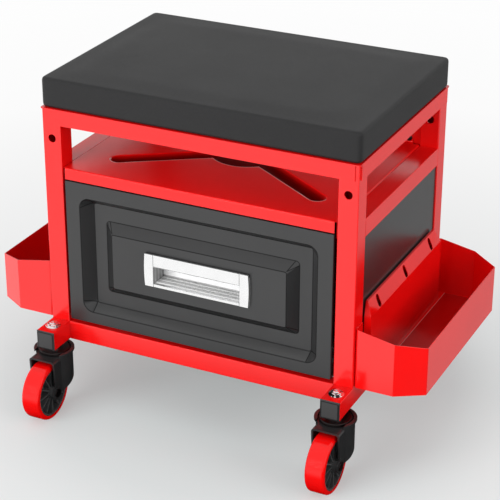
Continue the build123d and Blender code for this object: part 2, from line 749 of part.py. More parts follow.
def rack_shape(half_length):
    """Back plate, slotted lip, turned ends and the sheet turned down behind the lip."""
    fold = bin_bottom + rack_height
    rack = rack_form(half_length, 0, bin_bottom) - rack_form(half_length, bin_sheet, bin_bottom - overrun)
    end = half_length - bin_sheet
    rack -= block((half_width - overrun, -end, bin_bottom - overrun),
                  (half_width + rack_standoff - bin_sheet, end, fold - rack_tail))
    x = half_width + rack_standoff - lip_lean * slot_middle_share
    height = fold + lip_rise * slot_middle_share
    for index in range(slot_count):
        y = (index - (slot_count - 1) / 2) * slot_pitch
        plane = Plane(origin=(x, y, height), x_dir=(-lip_lean, 0, lip_rise), z_dir=(lip_rise, 0, lip_lean))
        rack -= extrude(plane * SlotOverall(slot_length, slot_width), amount=-bin_sheet * 3 / 2)
    return rack


def fork_shape():
    """Fork of a caster about its own swivel axis, at its real height, trailing towards -Y."""
    axle = tyre_radius
    ceiling = 2 * tyre_radius + fork_wheel_gap
    crown_top = ceiling + fork_crown
    half = fork_width / 2
    foot = axle - fork_foot_drop
    back_foot = crown_top - fork_back_height
    profile = Polyline((-fork_front, crown_top), (-fork_front + fork_lean, axle), (-caster_trail, foot),
                       (fork_body_radius, back_foot), (fork_body_radius, crown_top), close=True)
    side_view = extrude(Plane.YZ * make_face(profile), amount=cup_rim_radius, both=True)
    body = block((-half, -fork_front, foot), (half, 0, crown_top))
    body = fillet(body.edges().filter_by(Axis.Y).group_by(Axis.Z)[-1], fork_edge)
    body += rod(fork_body_radius, (0, 0, foot), crown_top, "Z")
    body = body & side_view
    body += rod(fork_boss_radius, (-half - fork_boss_proud, -caster_trail, axle), half + fork_boss_proud, "X")
    inner = half - fork_wall
    arch = Rectangle(2 * inner, ceiling)
    arch = fillet(arch.vertices().group_by(Axis.Y)[-1], fork_arch_corner)
    back = -caster_trail + tyre_radius + fork_back_gap
    front = -fork_front - overrun
    plane = Plane(origin=(0, back, ceiling / 2), x_dir=(1, 0, 0), z_dir=(0, -1, 0))
    body -= extrude(plane * arch, amount=back - front)
    rim_bottom = crown_top + cup_height - cup_rim_height
    rim_top = crown_top + cup_height
    cup = rod(fork_body_radius, (0, 0, crown_top), rim_bottom, "Z")
    cup += rod(cup_rim_radius, (0, 0, rim_bottom), rim_top, "Z")
    cup -= rod(fork_body_radius - cup_wall, (0, 0, crown_top - overrun), rim_top + overrun, "Z")
    cup -= block((-half, -cup_rim_radius - overrun, crown_top - overrun), (half, 0, rim_top + overrun))
    body += cup
    body -= rod(stem_radius + play, (0, 0, ceiling - overrun), crown_top + overrun, "Z")
    body -= rod(axle_radius + play, (-half - overrun, -caster_trail, axle), half + overrun, "X")
    return body


def hub_shape():
    """Ribbed hub about the axle, centred on the origin."""
    half = hub_width / 2
    boss_half = fork_width / 2 - fork_wall - slip
    rim = rod(hub_radius, (-half, 0, 0), half, "X")
    rim -= rod(hub_radius - hub_rim, (-half - overrun, 0, 0), half + overrun, "X")
    hub = rim + rod(hub_radius - hub_rim / 2, (-hub_web / 2, 0, 0), hub_web / 2, "X")
    spoke_half = half - spoke_setback
    spoke = block((-spoke_half, -spoke_width / 2, 0), (spoke_half, spoke_width / 2, hub_radius - hub_rim / 2))
    for index in range(spoke_count):
        hub += Rot(360 * index / spoke_count, 0, 0) * spoke
    hub += rod(hub_boss_radius, (-boss_half, 0, 0), boss_half, "X")
    hub -= rod(axle_radius + play, (-boss_half - overrun, 0, 0), boss_half + overrun, "X")
    return hub


def tyre_shape():
    """Tyre about the axle, centred on the origin, with round shoulders."""
    half = tyre_width / 2
    tyre = rod(tyre_radius, (-half, 0, 0), half, "X")
    tyre = fillet(tyre.edges().filter_by(GeomType.CIRCLE), tyre_shoulder)
    return tyre - rod(hub_radius, (-half - overrun, 0, 0), half + overrun, "X")


def axle_shape():
    """Riveted axle with a head on each side, centred on the origin."""
    half = fork_width / 2 + fork_boss_proud
    axle = rod(axle_radius, (-half, 0, 0), half, "X")
    axle += rod(axle_head_radius, (half, 0, 0), half + axle_head, "X")
    axle += rod(axle_head_radius, (-half - axle_head, 0, 0), -half, "X")
    return axle


def stem_shape():
    """Threaded stem with its lower head and the collar under the tube."""
    ceiling = 2 * tyre_radius + fork_wheel_gap
    race_top = ceiling + fork_crown + slip + race_height
    stem_top = tube_top + nut_height + stem_end
    stem = rod(stem_radius, (0, 0, ceiling - slip), stem_top, "Z")
    stem = chamfer(stem.faces().sort_by(Axis.Z)[-1].edges(), stem_radius / 4)
    stem -= rod(stem_socket_radius, (0, 0, stem_top - stem_socket_depth), stem_top + overrun, "Z")
    stem += rod(stem_head_radius, (0, 0, ceiling - slip - stem_head), ceiling - slip, "Z")
    stem += rod(stem_collar_radius, (0, 0, race_top), caster_height, "Z")
    return stem


def race_shape():
    """Swivel race ring between the fork and the stem's collar."""
    bottom = 2 * tyre_radius + fork_wheel_gap + fork_crown + slip
    top = bottom + race_height
    race = rod(race_radius, (0, 0, bottom), top, "Z")
    race = fillet(race.faces().sort_by(Axis.Z)[-1].edges(), race_height / 4)
    return race - rod(stem_radius + play, (0, 0, bottom - overrun), top + overrun, "Z")


def nut_shape():
    """Low round flange nut on top of the side tube."""
    flange = rod(nut_flange_radius, (0, 0, 0), nut_flange, "Z")
    flange = chamfer(flange.faces().sort_by(Axis.Z)[-1].edges(), nut_flange / 2)
    nut = rod(nut_radius, (0, 0, 0), nut_height, "Z")
    nut = fillet(nut.faces().sort_by(Axis.Z)[-1].edges(), nut_edge)
    nut = nut + flange - rod(stem_radius + play, (0, 0, -overrun), nut_height + overrun, "Z")
    return Pos(0, 0, tube_top) * nut


def make_casters():
    """Four casters, the front pair trailing forward and the rear pair backward."""
    fork, hub, tyre, axle = fork_shape(), hub_shape(), tyre_shape(), axle_shape()
    stem, race, nut = stem_shape(), race_shape(), nut_shape()
    wheel_place = Pos(0, -caster_trail, tyre_radius)
    stems, races, nuts = [], [], []
    for row, sign, turn in (("front", -1, 0), ("rear", 1, 180)):
        for side, x in (("left", -tube_centre_x), ("right", tube_centre_x)):
            place = Pos(x, sign * swivel_y, 0) * Rot(0, 0, turn)
            name = row + "_" + side
            save("caster_fork_" + name, place * fork)
            save("wheel_hub_" + name, place * wheel_place * hub)
            save("wheel_tyre_" + name, place * wheel_place * tyre)
            save("wheel_axle_" + name, place * wheel_place * axle)
            stems.append(place * stem)
            races.append(place * race)
            nuts.append(place * nut)
    save("caster_stems", group(stems))
    save("caster_races", group(races))
    save("stem_nuts", group(nuts))


make_seat()
make_seat_pan()
make_legs()
make_rails()
make_tube_caps()
make_tool_shelf()
make_panels()
make_drawer_front()
make_drawer_box()
make_pull()
make_slides()
make_bins()
make_casters()
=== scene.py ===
"""Looks of a rolling workshop stool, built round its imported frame.

Sizes of the sub-assemblies are millimetres; finishes, lamps and the floor are in metres.
Meshes are written in metres in the frame's own axes: +X to the right bin, -Y to the drawer
side, +Z up, origin on the floor under the stool.
"""
import logging
import math
from collections.abc import Callable, Iterable, Mapping, Sequence
from dataclasses import dataclass, field
from enum import Enum

import bmesh
import bpy
from mathutils import Matrix, Quaternion, Vector


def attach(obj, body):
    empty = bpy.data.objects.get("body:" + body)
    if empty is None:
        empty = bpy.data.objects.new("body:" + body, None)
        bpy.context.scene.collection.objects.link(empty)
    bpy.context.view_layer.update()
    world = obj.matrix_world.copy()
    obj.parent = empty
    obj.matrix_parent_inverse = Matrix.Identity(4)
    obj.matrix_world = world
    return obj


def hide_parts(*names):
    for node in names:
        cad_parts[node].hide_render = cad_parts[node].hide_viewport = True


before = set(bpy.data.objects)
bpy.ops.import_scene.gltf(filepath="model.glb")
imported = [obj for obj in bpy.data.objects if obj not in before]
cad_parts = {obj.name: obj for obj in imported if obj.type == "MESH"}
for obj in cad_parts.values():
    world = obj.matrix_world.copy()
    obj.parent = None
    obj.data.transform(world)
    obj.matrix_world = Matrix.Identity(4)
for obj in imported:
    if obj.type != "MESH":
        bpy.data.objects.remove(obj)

LOG = logging.getLogger("stool")
MM = 0.001
NODES: dict[str, bpy.types.Object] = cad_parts

Point = tuple[float, float, float]
Flat = tuple[float, float]
Colour = tuple[float, float, float]
Station = tuple[float, ...]

UNIT: Point = (1.0, 1.0, 1.0)
# Sockets of the Mix node that go by number, because their names repeat
COLOUR_A, COLOUR_B, COLOUR_OUT = 6, 7, 2
VECTOR_A, VECTOR_B, VECTOR_OUT = 4, 5, 1


class Side(Enum):
    """Left or right half of the stool, by the sign of X."""

    LEFT = -1
    RIGHT = 1


class Row(Enum):
    """Front or rear half of the stool, by the sign of Y."""

    FRONT = -1
    REAR = 1


def word(option: Enum) -> str:
    """An option as it is written in the names of nodes."""
    return option.name.lower()


SIDES = [word(side) for side in Side]
CORNERS = [f"{word(row)}_{side}" for row in Row for side in SIDES]
SIGNS = tuple(side.value for side in Side)


# Shader graphs


def maths(operation: str, swapped: bool = False) -> Callable[..., "Signal"]:
    """An operator of signals that adds one Math node.

    Args:
        operation: What the node works out.
        swapped: Whether the signal is the second of the two values, as in a reflected operator.

    Returns:
        The operator.
    """
    def act(signal: "Signal", other: "Signal | float" = 0.0) -> "Signal":
        """The value of the new node."""
        first, second = (other, signal) if swapped else (signal, other)
        return signal.graph.node("ShaderNodeMath", {"operation": operation}, {0: first, 1: second})

    return act


class Signal:
    """A shader socket that takes part in arithmetic.

    The sign | gives the larger of two values and & the smaller; a comparison gives 1 where it holds, else 0.
    """

    __add__ = __radd__ = maths("ADD")
    __sub__, __rsub__ = maths("SUBTRACT"), maths("SUBTRACT", swapped=True)
    __mul__ = __rmul__ = maths("MULTIPLY")
    __truediv__, __rtruediv__ = maths("DIVIDE"), maths("DIVIDE", swapped=True)
    __pow__ = maths("POWER")
    __abs__ = maths("ABSOLUTE")
    __or__ = __ror__ = maths("MAXIMUM")
    __and__ = __rand__ = maths("MINIMUM")
    __gt__, __lt__ = maths("GREATER_THAN"), maths("LESS_THAN")

    def __init__(self, graph: "Graph", socket: bpy.types.NodeSocket | None) -> None:
        """Keep the graph and the socket, which a node without outputs leaves out."""
        self.graph = graph
        self.socket = socket


class Graph:
    """The node tree of one material or of the world."""

    def __init__(self, name: str, store: bpy.types.bpy_prop_collection | None = None) -> None:
        """Start an empty tree.

        Args:
            name: Name of the material or world.
            store: Where it is made, the materials unless given.
        """
        self.owner = (bpy.data.materials if store is None else store).new(name)
        self.owner.use_nodes = True
        self.tree = self.owner.node_tree
        self.tree.nodes.clear()

    def node(self, kind: str, settings: Mapping[str, object] | None = None,
             inputs: Mapping[str | int, object] | None = None, output: str | int = 0) -> Signal:
        """Add a node, set it up, fill its sockets and hand back one output.

        Args:
            kind: Type name of the node.
            settings: Properties of the node, or "stops" for a ramp's positions and colours.
            inputs: Values or signals by socket name or index.
            output: Which output to hand back.

        Returns:
            The chosen output.
        """
        made = self.tree.nodes.new(kind)
        for key, value in (settings or {}).items():
            if key == "stops":
                self._set_stops(made.color_ramp, value)
            else:
                setattr(made, key, value)
        for key, value in (inputs or {}).items():
            if isinstance(value, Signal):
                self.tree.links.new(value.socket, made.inputs[key])
            else:
                made.inputs[key].default_value = value
        return Signal(self, made.outputs[output] if made.outputs else None)

    @staticmethod
    def _set_stops(ramp: bpy.types.ColorRamp, stops: Sequence[Flat]) -> None:
        """Give a ramp grey stops.

        Args:
            ramp: The ramp, with the two stops that it starts with.
            stops: A position and a level for each stop.
        """
        while len(ramp.elements) < len(stops):
            ramp.elements.new(0.5)
        for element, (position, level) in zip(ramp.elements, stops):
            element.position = position
            element.color = (level, level, level, 1.0)

    def place(self, stretch: Point = UNIT) -> Signal:
        """Coordinates in metres of the frame, scaled along each axis."""
        here = self.node("ShaderNodeTexCoord", output="Object")
        return here if stretch == UNIT else self.node(
            "ShaderNodeMapping", inputs={"Vector": here, "Scale": stretch})

    def axes(self, source: str = "Object") -> list[Signal]:
        """The three parts of a texture coordinate, which is metres of the frame unless another is named."""
        here = self.node("ShaderNodeTexCoord", output=source)
        return [self.node("ShaderNodeSeparateXYZ", inputs={0: here}, output=i) for i in range(3)]

    def noise(self, place: Signal, scale: float, detail: float = 2.0, rough: float = 0.5) -> Signal:
        """Fractal noise from 0 to 1; scale is waves per metre."""
        return self.node("ShaderNodeTexNoise", inputs={
            "Vector": place, "Scale": scale, "Detail": detail, "Roughness": rough})

    def cells(self, place: Signal, scale: float, feature: str = "DISTANCE_TO_EDGE") -> Signal:
        """Voronoi distance; scale is cells per metre."""
        return self.node("ShaderNodeTexVoronoi", {"feature": feature}, {"Vector": place, "Scale": scale},
                         "Distance")

    def ramp(self, value: Signal, *stops: Flat) -> Signal:
        """A grey level that follows the stops."""
        return self.node("ShaderNodeValToRGB", {"stops": stops}, {"Fac": value})

    def blend(self, factor: Signal | float, first: Colour | Signal, second: Colour | Signal) -> Signal:
        """First colour at factor 0, second at 1."""
        pair = [part if isinstance(part, Signal) else (*part, 1.0) for part in (first, second)]
        return self.node("ShaderNodeMix", {"data_type": "RGBA"},
                         {0: factor, COLOUR_A: pair[0], COLOUR_B: pair[1]}, COLOUR_OUT)

    def mix(self, factor: Signal, first: Signal, second: Signal) -> Signal:
        """First shader at factor 0, second at 1."""
        return self.node("ShaderNodeMixShader", inputs={0: factor, 1: first, 2: second})

    def glow(self, kind: str, tone: Signal | float) -> Signal:
        """A background or emission shader with a colour or a grey level."""
        colour = tone if isinstance(tone, Signal) else (tone, tone, tone, 1.0)
        return self.node(kind, inputs={"Color": colour})

    def rays(self, *kinds: str) -> list[Signal]:
        """A signal for each named kind of ray that is 1 on such rays."""
        return [self.node("ShaderNodeLightPath", output=f"Is {kind} Ray") for kind in kinds]

    def bump(self, height: Signal, depth: float, strength: float = 1.0) -> Signal:
        """A normal bent by a height from 0 to 1, worth the depth in metres."""
        return self.node("ShaderNodeBump", inputs={"Height": height, "Distance": depth, "Strength": strength})

    def finish(self, **inputs: object) -> bpy.types.Material:
        """Close the graph with a surface shader and hand back the material."""
        return self.close(self.surface(**inputs))

    def surface(self, **inputs: object) -> Signal:
        """A surface shader with socket values by name, with underscores for spaces."""
        return self.node("ShaderNodeBsdfPrincipled", inputs={
            key.replace("_", " "): value for key, value in inputs.items()})

    def close(self, surface: Signal) -> bpy.types.Material:
        """Lead a shader to the output and hand back the material."""
        self.node("ShaderNodeOutputMaterial", inputs={"Surface": surface})
        return self.owner


# Finishes


# Pale colours for painted light and for painted highlights
LIFT_TONE: Colour = (0.8, 0.8, 0.8)
HIGHLIGHT_TONES: tuple[Colour, Colour] = ((0.9, 0.7, 0.68), (0.8, 0.75, 0.72))


@dataclass(frozen=True)
class PowderCoat:
    """Powder coat on sheet steel and tube: a faint orange peel and slow changes of tone.

    A coat with places of its own says where painted light, painted shade and painted highlights lie on it.
    """

    name: str
    colour: Colour
    deep: Colour
    roughness: float
    gloss: float = 0.75
    peel: float = 0.000025
    peel_scale: float = 420.0
    tone_scale: float = 9.0
    haze_scale: float = 60.0
    lift_share: float = 0.04
    shade_shares: Flat = (0.05, 0.14)

    def painted_lift(self, graph: Graph) -> Signal | None:
        """Where painted light makes the coat paler, 0 to 1; a plain coat has none."""
        return None

    def shade(self, graph: Graph) -> Signal | None:
        """Where shade is painted on, 0 to 1; a plain coat has none."""
        return None

    def rim(self, graph: Graph) -> Signal | None:
        """Where a highlight is painted on, 0 to 1; a plain coat has none."""
        return None

    def make(self) -> bpy.types.Material:
        """Build the material: the coat and its painted light, then painted shade, then painted highlights
        over it.

        Returns:
            The finished material.
        """
        graph = Graph(self.name)
        place = graph.place()
        tone = graph.ramp(graph.noise(place, self.tone_scale, 3.0), (0.35, 0.0), (0.7, 1.0))
        peel = graph.noise(place, self.peel_scale, 2.0, 0.55)
        haze = graph.noise(place, self.haze_scale, 4.0, 0.6)
        colour = graph.blend(tone * 0.6 + haze * 0.25, self.colour, self.deep)
        painted_lift, shade, rim = self.painted_lift(graph), self.shade(graph), self.rim(graph)
        # Painted light: the colour is paled where the lift mask marks it
        if painted_lift is not None:
            colour = graph.blend(painted_lift * self.lift_share, colour, LIFT_TONE)
        surface = graph.surface(Base_Color=colour, Roughness=self.roughness - 0.04 + haze * 0.08,
                                Specular_IOR_Level=self.gloss, Normal=graph.bump(peel, self.peel))
        if shade is not None:
            # Painted shade: a dark matte coat is mixed in where the shade mask marks it
            tones = [tuple(part * share for part in self.deep) for share in self.shade_shares]
            dark = graph.surface(Base_Color=graph.blend(haze, *tones), Roughness=0.8, Specular_IOR_Level=0.05)
            surface = graph.mix(shade, surface, dark)
        if rim is not None:
            # Painted highlight: a pale coat is mixed in where the rim mask marks it
            wear_and_highlight = graph.surface(Base_Color=graph.blend(haze, *HIGHLIGHT_TONES), Roughness=0.5)
            surface = graph.mix(rim, surface, wear_and_highlight)
        return graph.close(surface)


@dataclass(frozen=True)
class FoldedCoat(PowderCoat):
    """A coat on a pressed form, with painted shade along the rectangles where it folds.

    Each fold is a half width, a low and a high edge and a corner radius, round a centre on both sides of X.
    The first pairs of folds, as many as slopes, also have lines down the corners between them.
    """

    folds: tuple[tuple[float, float, float, float], ...] = ()
    slopes: int = 0
    centre: float = 0.0
    line: float = 0.0007

    def painted_lift(self, graph: Graph) -> Signal | None:
        """Painted light on the lower slope between the first two folds.

        Args:
            graph: The graph of the material.

        Returns:
            1 on the slope, else 0, or nothing for a coat without slopes.
        """
        if not self.slopes:
            return None
        x, _, z = graph.axes()
        (half, low, _, corner), (_, high, _, _) = self.folds[:2]
        return (z > low) * (z < high) * (abs(x) < half - corner)

    @staticmethod
    def crease(graph: Graph, across: Signal, up: Signal, start: Flat, end: Flat) -> Signal:
        """How far a point lies from the straight line between two points.

        Args:
            graph: The graph of the material.
            across: How far out the point lies.
            up: How high the point lies.
            start: One end of the line, out and up.
            end: The other end.

        Returns:
            The distance in metres.
        """
        dx, dz = end[0] - start[0], end[1] - start[1]
        along = ((across - start[0]) * dx + (up - start[1]) * dz) / (dx * dx + dz * dz)
        share = graph.ramp(along, (0.0, 0.0), (1.0, 1.0))
        return ((across - start[0] - share * dx) ** 2.0 + (up - start[1] - share * dz) ** 2.0) ** 0.5

    def shade(self, graph: Graph) -> Signal:
        """Thin lines of painted shade on each fold and at each slope's corners.

        Args:
            graph: The graph of the material.

        Returns:
            The darkest of all the lines, 0 to 1.
        """
        x, _, z = graph.axes()
        across = abs(abs(x) - self.centre)
        total, aways = None, []
        for half, low, high, corner in self.folds:
            out_x = across - (half - corner)
            out_z = abs(z - (low + high) / 2) - ((high - low) / 2 - corner)
            outside = ((out_x | 0.0) ** 2.0 + (out_z | 0.0) ** 2.0) ** 0.5
            aways.append(abs(outside + ((out_x | out_z) & 0.0) - corner))
        for index in range(self.slopes):
            outer, inner = self.folds[2 * index:2 * index + 2]
            up, tall = abs(z - (outer[1] + outer[2]) / 2), (outer[2] - outer[1]) / 2
            tip = (inner[0], (inner[2] - inner[1]) / 2)
            for start in ((outer[0] - outer[3], tall), (outer[0], tall - outer[3])):
                aways.append(self.crease(graph, across, up, start, tip))
        for away in aways:
            line = graph.ramp(away / self.line, (0.0, 0.75), (0.45, 0.6), (1.0, 0.0))
            total = line if total is None else total | line
        return total


@dataclass(frozen=True)
class HollowCoat(PowderCoat):
    """Powder coat on the shelf, with painted shade where the sheet is pressed down and a painted highlight on
    the rim facing the back.
    """

    top: float = 0.2877
    depth: float = 0.005
    half_x: float = 0.155
    half_y: float = 0.12
    rim_levels: Flat = (0.00004, 0.0007)
    rim_facing: float = 0.01
    rim_highlight: float = 0.85

    def _below(self, graph: Graph) -> tuple[Signal, Signal]:
        """How far a point lies below the shelf's top, and 1 where it is inside the shelf's edges."""
        x, y, z = graph.axes()
        return self.top - z, (abs(x) < self.half_x) * (abs(y) < self.half_y)

    def shade(self, graph: Graph) -> Signal:
        """Painted shade that grows with depth below the shelf's top."""
        down, inside = self._below(graph)
        return graph.ramp(down / self.depth, (0.06, 0.0), (0.2, 0.5), (0.7, 0.85), (1.0, 0.92)) * inside

    def rim(self, graph: Graph) -> Signal:
        """A painted highlight: a thin pale line on the edges of the hollow that face the back."""
        down, inside = self._below(graph)
        thin = (down > self.rim_levels[0]) * (down < self.rim_levels[1]) * inside
        return thin * (graph.axes("Normal")[1] > self.rim_facing) * self.rim_highlight


@dataclass(frozen=True)
class BinCoat(PowderCoat):
    """Powder coat in the bins, with painted shade on the floor beside the outer wall."""

    seam: float = 0.1925
    wall: float = 0.2535
    floor: Flat = (0.1036, 0.106)
    half: float = 0.121
    floor_shade: float = 0.42
    foot: float = 0.0004
    foot_highlight: float = 0.28

    def _on_floor(self, graph: Graph) -> tuple[Signal, Signal]:
        """How far out a point lies, and 1 where it is on the floor."""
        x, y, z = graph.axes()
        return abs(x), (z > self.floor[0]) * (z < self.floor[1]) * (abs(y) < self.half)

    def shade(self, graph: Graph) -> Signal:
        """Painted shade between the foot of the back plate and the outer wall."""
        out, here = self._on_floor(graph)
        return here * (out > self.seam) * (out < self.wall) * self.floor_shade

    def rim(self, graph: Graph) -> Signal:
        """A painted highlight along the foot of the back plate."""
        out, here = self._on_floor(graph)
        return here * (abs(out - self.seam) < self.foot) * self.foot_highlight


@dataclass(frozen=True)
class Vinyl:
    """Matte seat vinyl with a fine pressed grain."""

    name: str
    colour: Colour
    crease: Colour
    grain_scale: float = 900.0
    grain: float = 0.00007
    wander: float = 0.0008
    wander_scale: float = 160.0
    gloss: float = 0.35

    def make(self) -> bpy.types.Material:
        """Build the material.

        Returns:
            The finished material.
        """
        graph = Graph(self.name)
        place = graph.place()
        drift = graph.node("ShaderNodeTexNoise", inputs={
            "Vector": place, "Scale": self.wander_scale, "Detail": 3.0}, output="Color")
        wander = graph.node("ShaderNodeMix", {"data_type": "VECTOR"},
                            {0: self.wander, VECTOR_A: place, VECTOR_B: drift}, VECTOR_OUT)
        pebble = graph.ramp(graph.cells(wander, self.grain_scale), (0.0, 0.0), (0.22, 0.8), (0.6, 1.0))
        wear_and_highlight = graph.noise(place, 14.0, 4.0, 0.6)
        height = pebble * 0.8 + graph.noise(place, 2400.0, 1.0) * 0.2
        return graph.finish(Base_Color=graph.blend(pebble, self.crease, self.colour),
                            Roughness=0.5 + wear_and_highlight * 0.1 - pebble * 0.05,
                            Normal=graph.bump(height, self.grain), Specular_IOR_Level=self.gloss)


@dataclass(frozen=True)
class BrightMetal:
    """Plated steel with fine draw lines along one axis."""

    name: str
    colour: Colour
    spot_colour: Colour
    roughness: float
    lines: Point = (40.0, 1.0, 40.0)
    depth: float = 0.000004
    spot_scale: float = 45.0
    spot_edges: Flat = (0.4, 0.75)

    def matte(self, graph: Graph) -> tuple[Signal, Signal] | None:
        """Where the plate is matte, 0 to 1, and its level there, darkened by painted shade; plain plate has
        none.
        """
        return None

    def make(self) -> bpy.types.Material:
        """Build the material.

        Returns:
            The finished material.
        """
        graph = Graph(self.name)
        drawn = graph.noise(graph.place(self.lines), 60.0, 3.0, 0.6)
        spots = graph.noise(graph.place(), self.spot_scale, 4.0, 0.65)
        spotted = graph.ramp(spots, (self.spot_edges[0], 0.0), (self.spot_edges[1], 1.0))
        colour, metal = graph.blend(spotted, self.colour, self.spot_colour), 1.0
        matte = self.matte(graph)
        if matte is not None:
            colour, metal = graph.blend(matte[0], colour, matte[1]), 1.0 - matte[0]
        return graph.finish(Base_Color=colour, Metallic=metal, Roughness=self.roughness + spots * 0.08,
                            Normal=graph.bump(drawn, self.depth))


@dataclass(frozen=True)
class CupMetal(BrightMetal):
    """Bright plate of the pull, matte on the ribbed floor and the ends of its recess, with painted shade
    there.
    """

    mouth: float = -0.1238
    back: float = -0.1046
    floor: float = 0.1745
    end: float = 0.0511
    end_strip: float = 0.0006
    joint: float = 0.0004
    lip: float = 0.1934
    lip_half: float = 0.00045
    lip_reach: float = 0.001
    brim: float = 0.2038
    rib: float = 0.0068
    rib_stops: tuple[Flat, ...] = ((0.0, 0.42), (0.2, 0.64), (1.0, 0.74))
    wall_level: float = 0.97
    end_dim: float = 0.5
    line_dim: float = 0.6
    brim_dim: float = 0.95

    def matte(self, graph: Graph) -> tuple[Signal, Signal]:
        """The recess's floor and ends in painted shade, its pale back wall, a painted shadow on its brim, and
        the thin lines at its joints and its upper lip.

        Args:
            graph: The graph of the material.

        Returns:
            Where the plate is matte, and how pale it is there.
        """
        x, y, z = graph.axes()
        inside = y > self.mouth
        wall = (y > self.back) * (z > self.floor)
        floor = inside * (z < self.floor)
        ends = inside * (abs(x) > self.end - self.end_strip)
        joints = (abs(abs(x) - self.end) < self.joint) * (y < self.mouth)
        edge = (abs(z - self.lip) < self.lip_half) * (y < self.mouth + self.lip_reach) * (abs(x) < self.end)
        lines = joints | edge
        brim = (z > self.brim) * (y > self.mouth)
        wave = graph.node("ShaderNodeMath", {"operation": "SINE"}, {0: y * (math.tau / self.rib)})
        # Painted shade: stripes across the ribbed floor; the back wall takes a pale matte tone
        level = graph.ramp(wave * 0.5 + 0.5, *self.rib_stops) | wall * self.wall_level
        # Painted shade on the ends and a painted shadow on the brim; the joint and lip lines darken too
        for place, dim in ((ends, self.end_dim), (lines, self.line_dim), (brim, self.brim_dim)):
            level = level * (1.0 - place * dim)
        return floor | wall | ends | lines | brim, level


@dataclass(frozen=True)
class Moulded:
    """Moulded plastic or rubber with a fine spark-eroded texture."""

    name: str
    colour: Colour
    scuff: Colour
    roughness: float
    texture: float = 0.00002
    texture_scale: float = 1500.0
    gloss: float = 0.5
    flow_scale: float = 30.0

    def make(self) -> bpy.types.Material:
        """Build the material.

        Returns:
            The finished material.
        """
        graph = Graph(self.name)
        place = graph.place()
        flow = graph.noise(place, self.flow_scale, 4.0, 0.6)
        grain = graph.noise(place, self.texture_scale, 1.0)
        colour = graph.blend(graph.ramp(flow, (0.45, 0.0), (0.8, 1.0)), self.colour, self.scuff)
        return graph.finish(Base_Color=colour, Roughness=self.roughness - 0.05 + flow * 0.1,
                            Specular_IOR_Level=self.gloss, Normal=graph.bump(grain, self.texture))


@dataclass(frozen=True)
class Foam:
    """Open-cell foam inside the seat."""

    name: str
    colour: Colour
    pore: Colour
    pore_scale: float = 650.0
    pore_depth: float = 0.0006

    def make(self) -> bpy.types.Material:
        """Build the material.

        Returns:
            The finished material.
        """
        graph = Graph(self.name)
        cell = graph.ramp(graph.cells(graph.place(), self.pore_scale, "F1"), (0.1, 0.0), (0.6, 1.0))
        return graph.finish(Base_Color=graph.blend(cell, self.pore, self.colour), Roughness=0.95,
                            Normal=graph.bump(cell, self.pore_depth))


@dataclass(frozen=True)
class Ply:
    """Plywood board with its grain along X."""

    name: str
    pale: Colour
    dark: Colour
    grain: Point = (1.0, 14.0, 14.0)
    fibres: Point = (1.0, 30.0, 30.0)
    pore_depth: float = 0.0001

    def make(self) -> bpy.types.Material:
        """Build the material.

        Returns:
            The finished material.
        """
        graph = Graph(self.name)
        tone = graph.ramp(graph.noise(graph.place(self.grain), 16.0, 6.0, 0.6), (0.35, 0.0), (0.65, 1.0))
        pores = graph.noise(graph.place(self.fibres), 60.0, 3.0)
        return graph.finish(Base_Color=graph.blend(tone, self.pale, self.dark), Roughness=0.6 + pores * 0.2,
                            Normal=graph.bump(pores, self.pore_depth))


RED_TONES: tuple[Colour, Colour] = ((0.82, 0.004, 0.004), (0.72, 0.003, 0.003))
GREY_TONES: tuple[Colour, Colour] = ((0.020, 0.020, 0.0205), (0.016, 0.016, 0.0165))


class Finish(Enum):
    """Every finish on the stool."""

    RED = PowderCoat("red_powder_coat", *RED_TONES, 0.17)
    BIN = BinCoat("red_bin_coat", *RED_TONES, 0.17)
    SHELF = HollowCoat("red_shelf_coat", (0.82, 0.002, 0.002), (0.72, 0.002, 0.002), 0.3, 0.7)
    GREY = PowderCoat("grey_powder_coat", *GREY_TONES, 0.24)
    # The pressed front: painted shade along its folds and painted light on its lower slope
    FRONT = FoldedCoat("grey_pressed_front", *GREY_TONES, 0.32, folds=(
        (0.1397, 0.1209, 0.2567, 0.012), (0.1289, 0.1279, 0.2477, 0.003), (0.1142, 0.1450, 0.2292, 0.0045),
        (0.1032, 0.1542, 0.2183, 0.002)), slopes=2)
    # The end caps: a line of painted shade along the bevel
    CAP = FoldedCoat("black_end_cap", (0.022, 0.022, 0.0225), (0.018, 0.018, 0.0185), 0.4, 0.8, folds=(
        (0.0094, 0.0821, 0.1009, 0.001),), centre=0.1705, line=0.0008)
    VINYL = Vinyl("black_vinyl", (0.020, 0.020, 0.0205), (0.012, 0.012, 0.0125))
    CHROME = BrightMetal("bright_chrome", (0.95, 0.95, 0.96), (0.88, 0.88, 0.89), 0.14)
    # The nut's black spots are a painted reflection
    NUT = BrightMetal("bright_nut", (0.97, 0.97, 0.97), (0.03, 0.03, 0.03), 0.1, spot_scale=170.0,
                      spot_edges=(0.5, 0.54))
    CUP = CupMetal("bright_pull", (0.97, 0.97, 0.97), (0.92, 0.92, 0.92), 0.14, (1.0, 40.0, 40.0))
    ZINC = BrightMetal("zinc_plate", (0.72, 0.73, 0.75), (0.55, 0.57, 0.6), 0.28)
    DARK = BrightMetal("dark_zinc", (0.06, 0.05, 0.05), (0.04, 0.035, 0.035), 0.4)
    BLACK = Moulded("black_nylon", (0.018, 0.018, 0.0185), (0.024, 0.024, 0.0245), 0.3)
    HUB = Moulded("black_hub", (0.05, 0.05, 0.051), (0.06, 0.06, 0.061), 0.3)
    TYRE = Moulded("red_urethane", (0.76, 0.002, 0.002), (0.68, 0.002, 0.002), 0.1, 0.000002, 900.0, 0.42)
    FOAM = Foam("cream_foam", (0.78, 0.7, 0.48), (0.45, 0.38, 0.22))
    PLY = Ply("plywood", (0.6, 0.42, 0.24), (0.42, 0.26, 0.13))


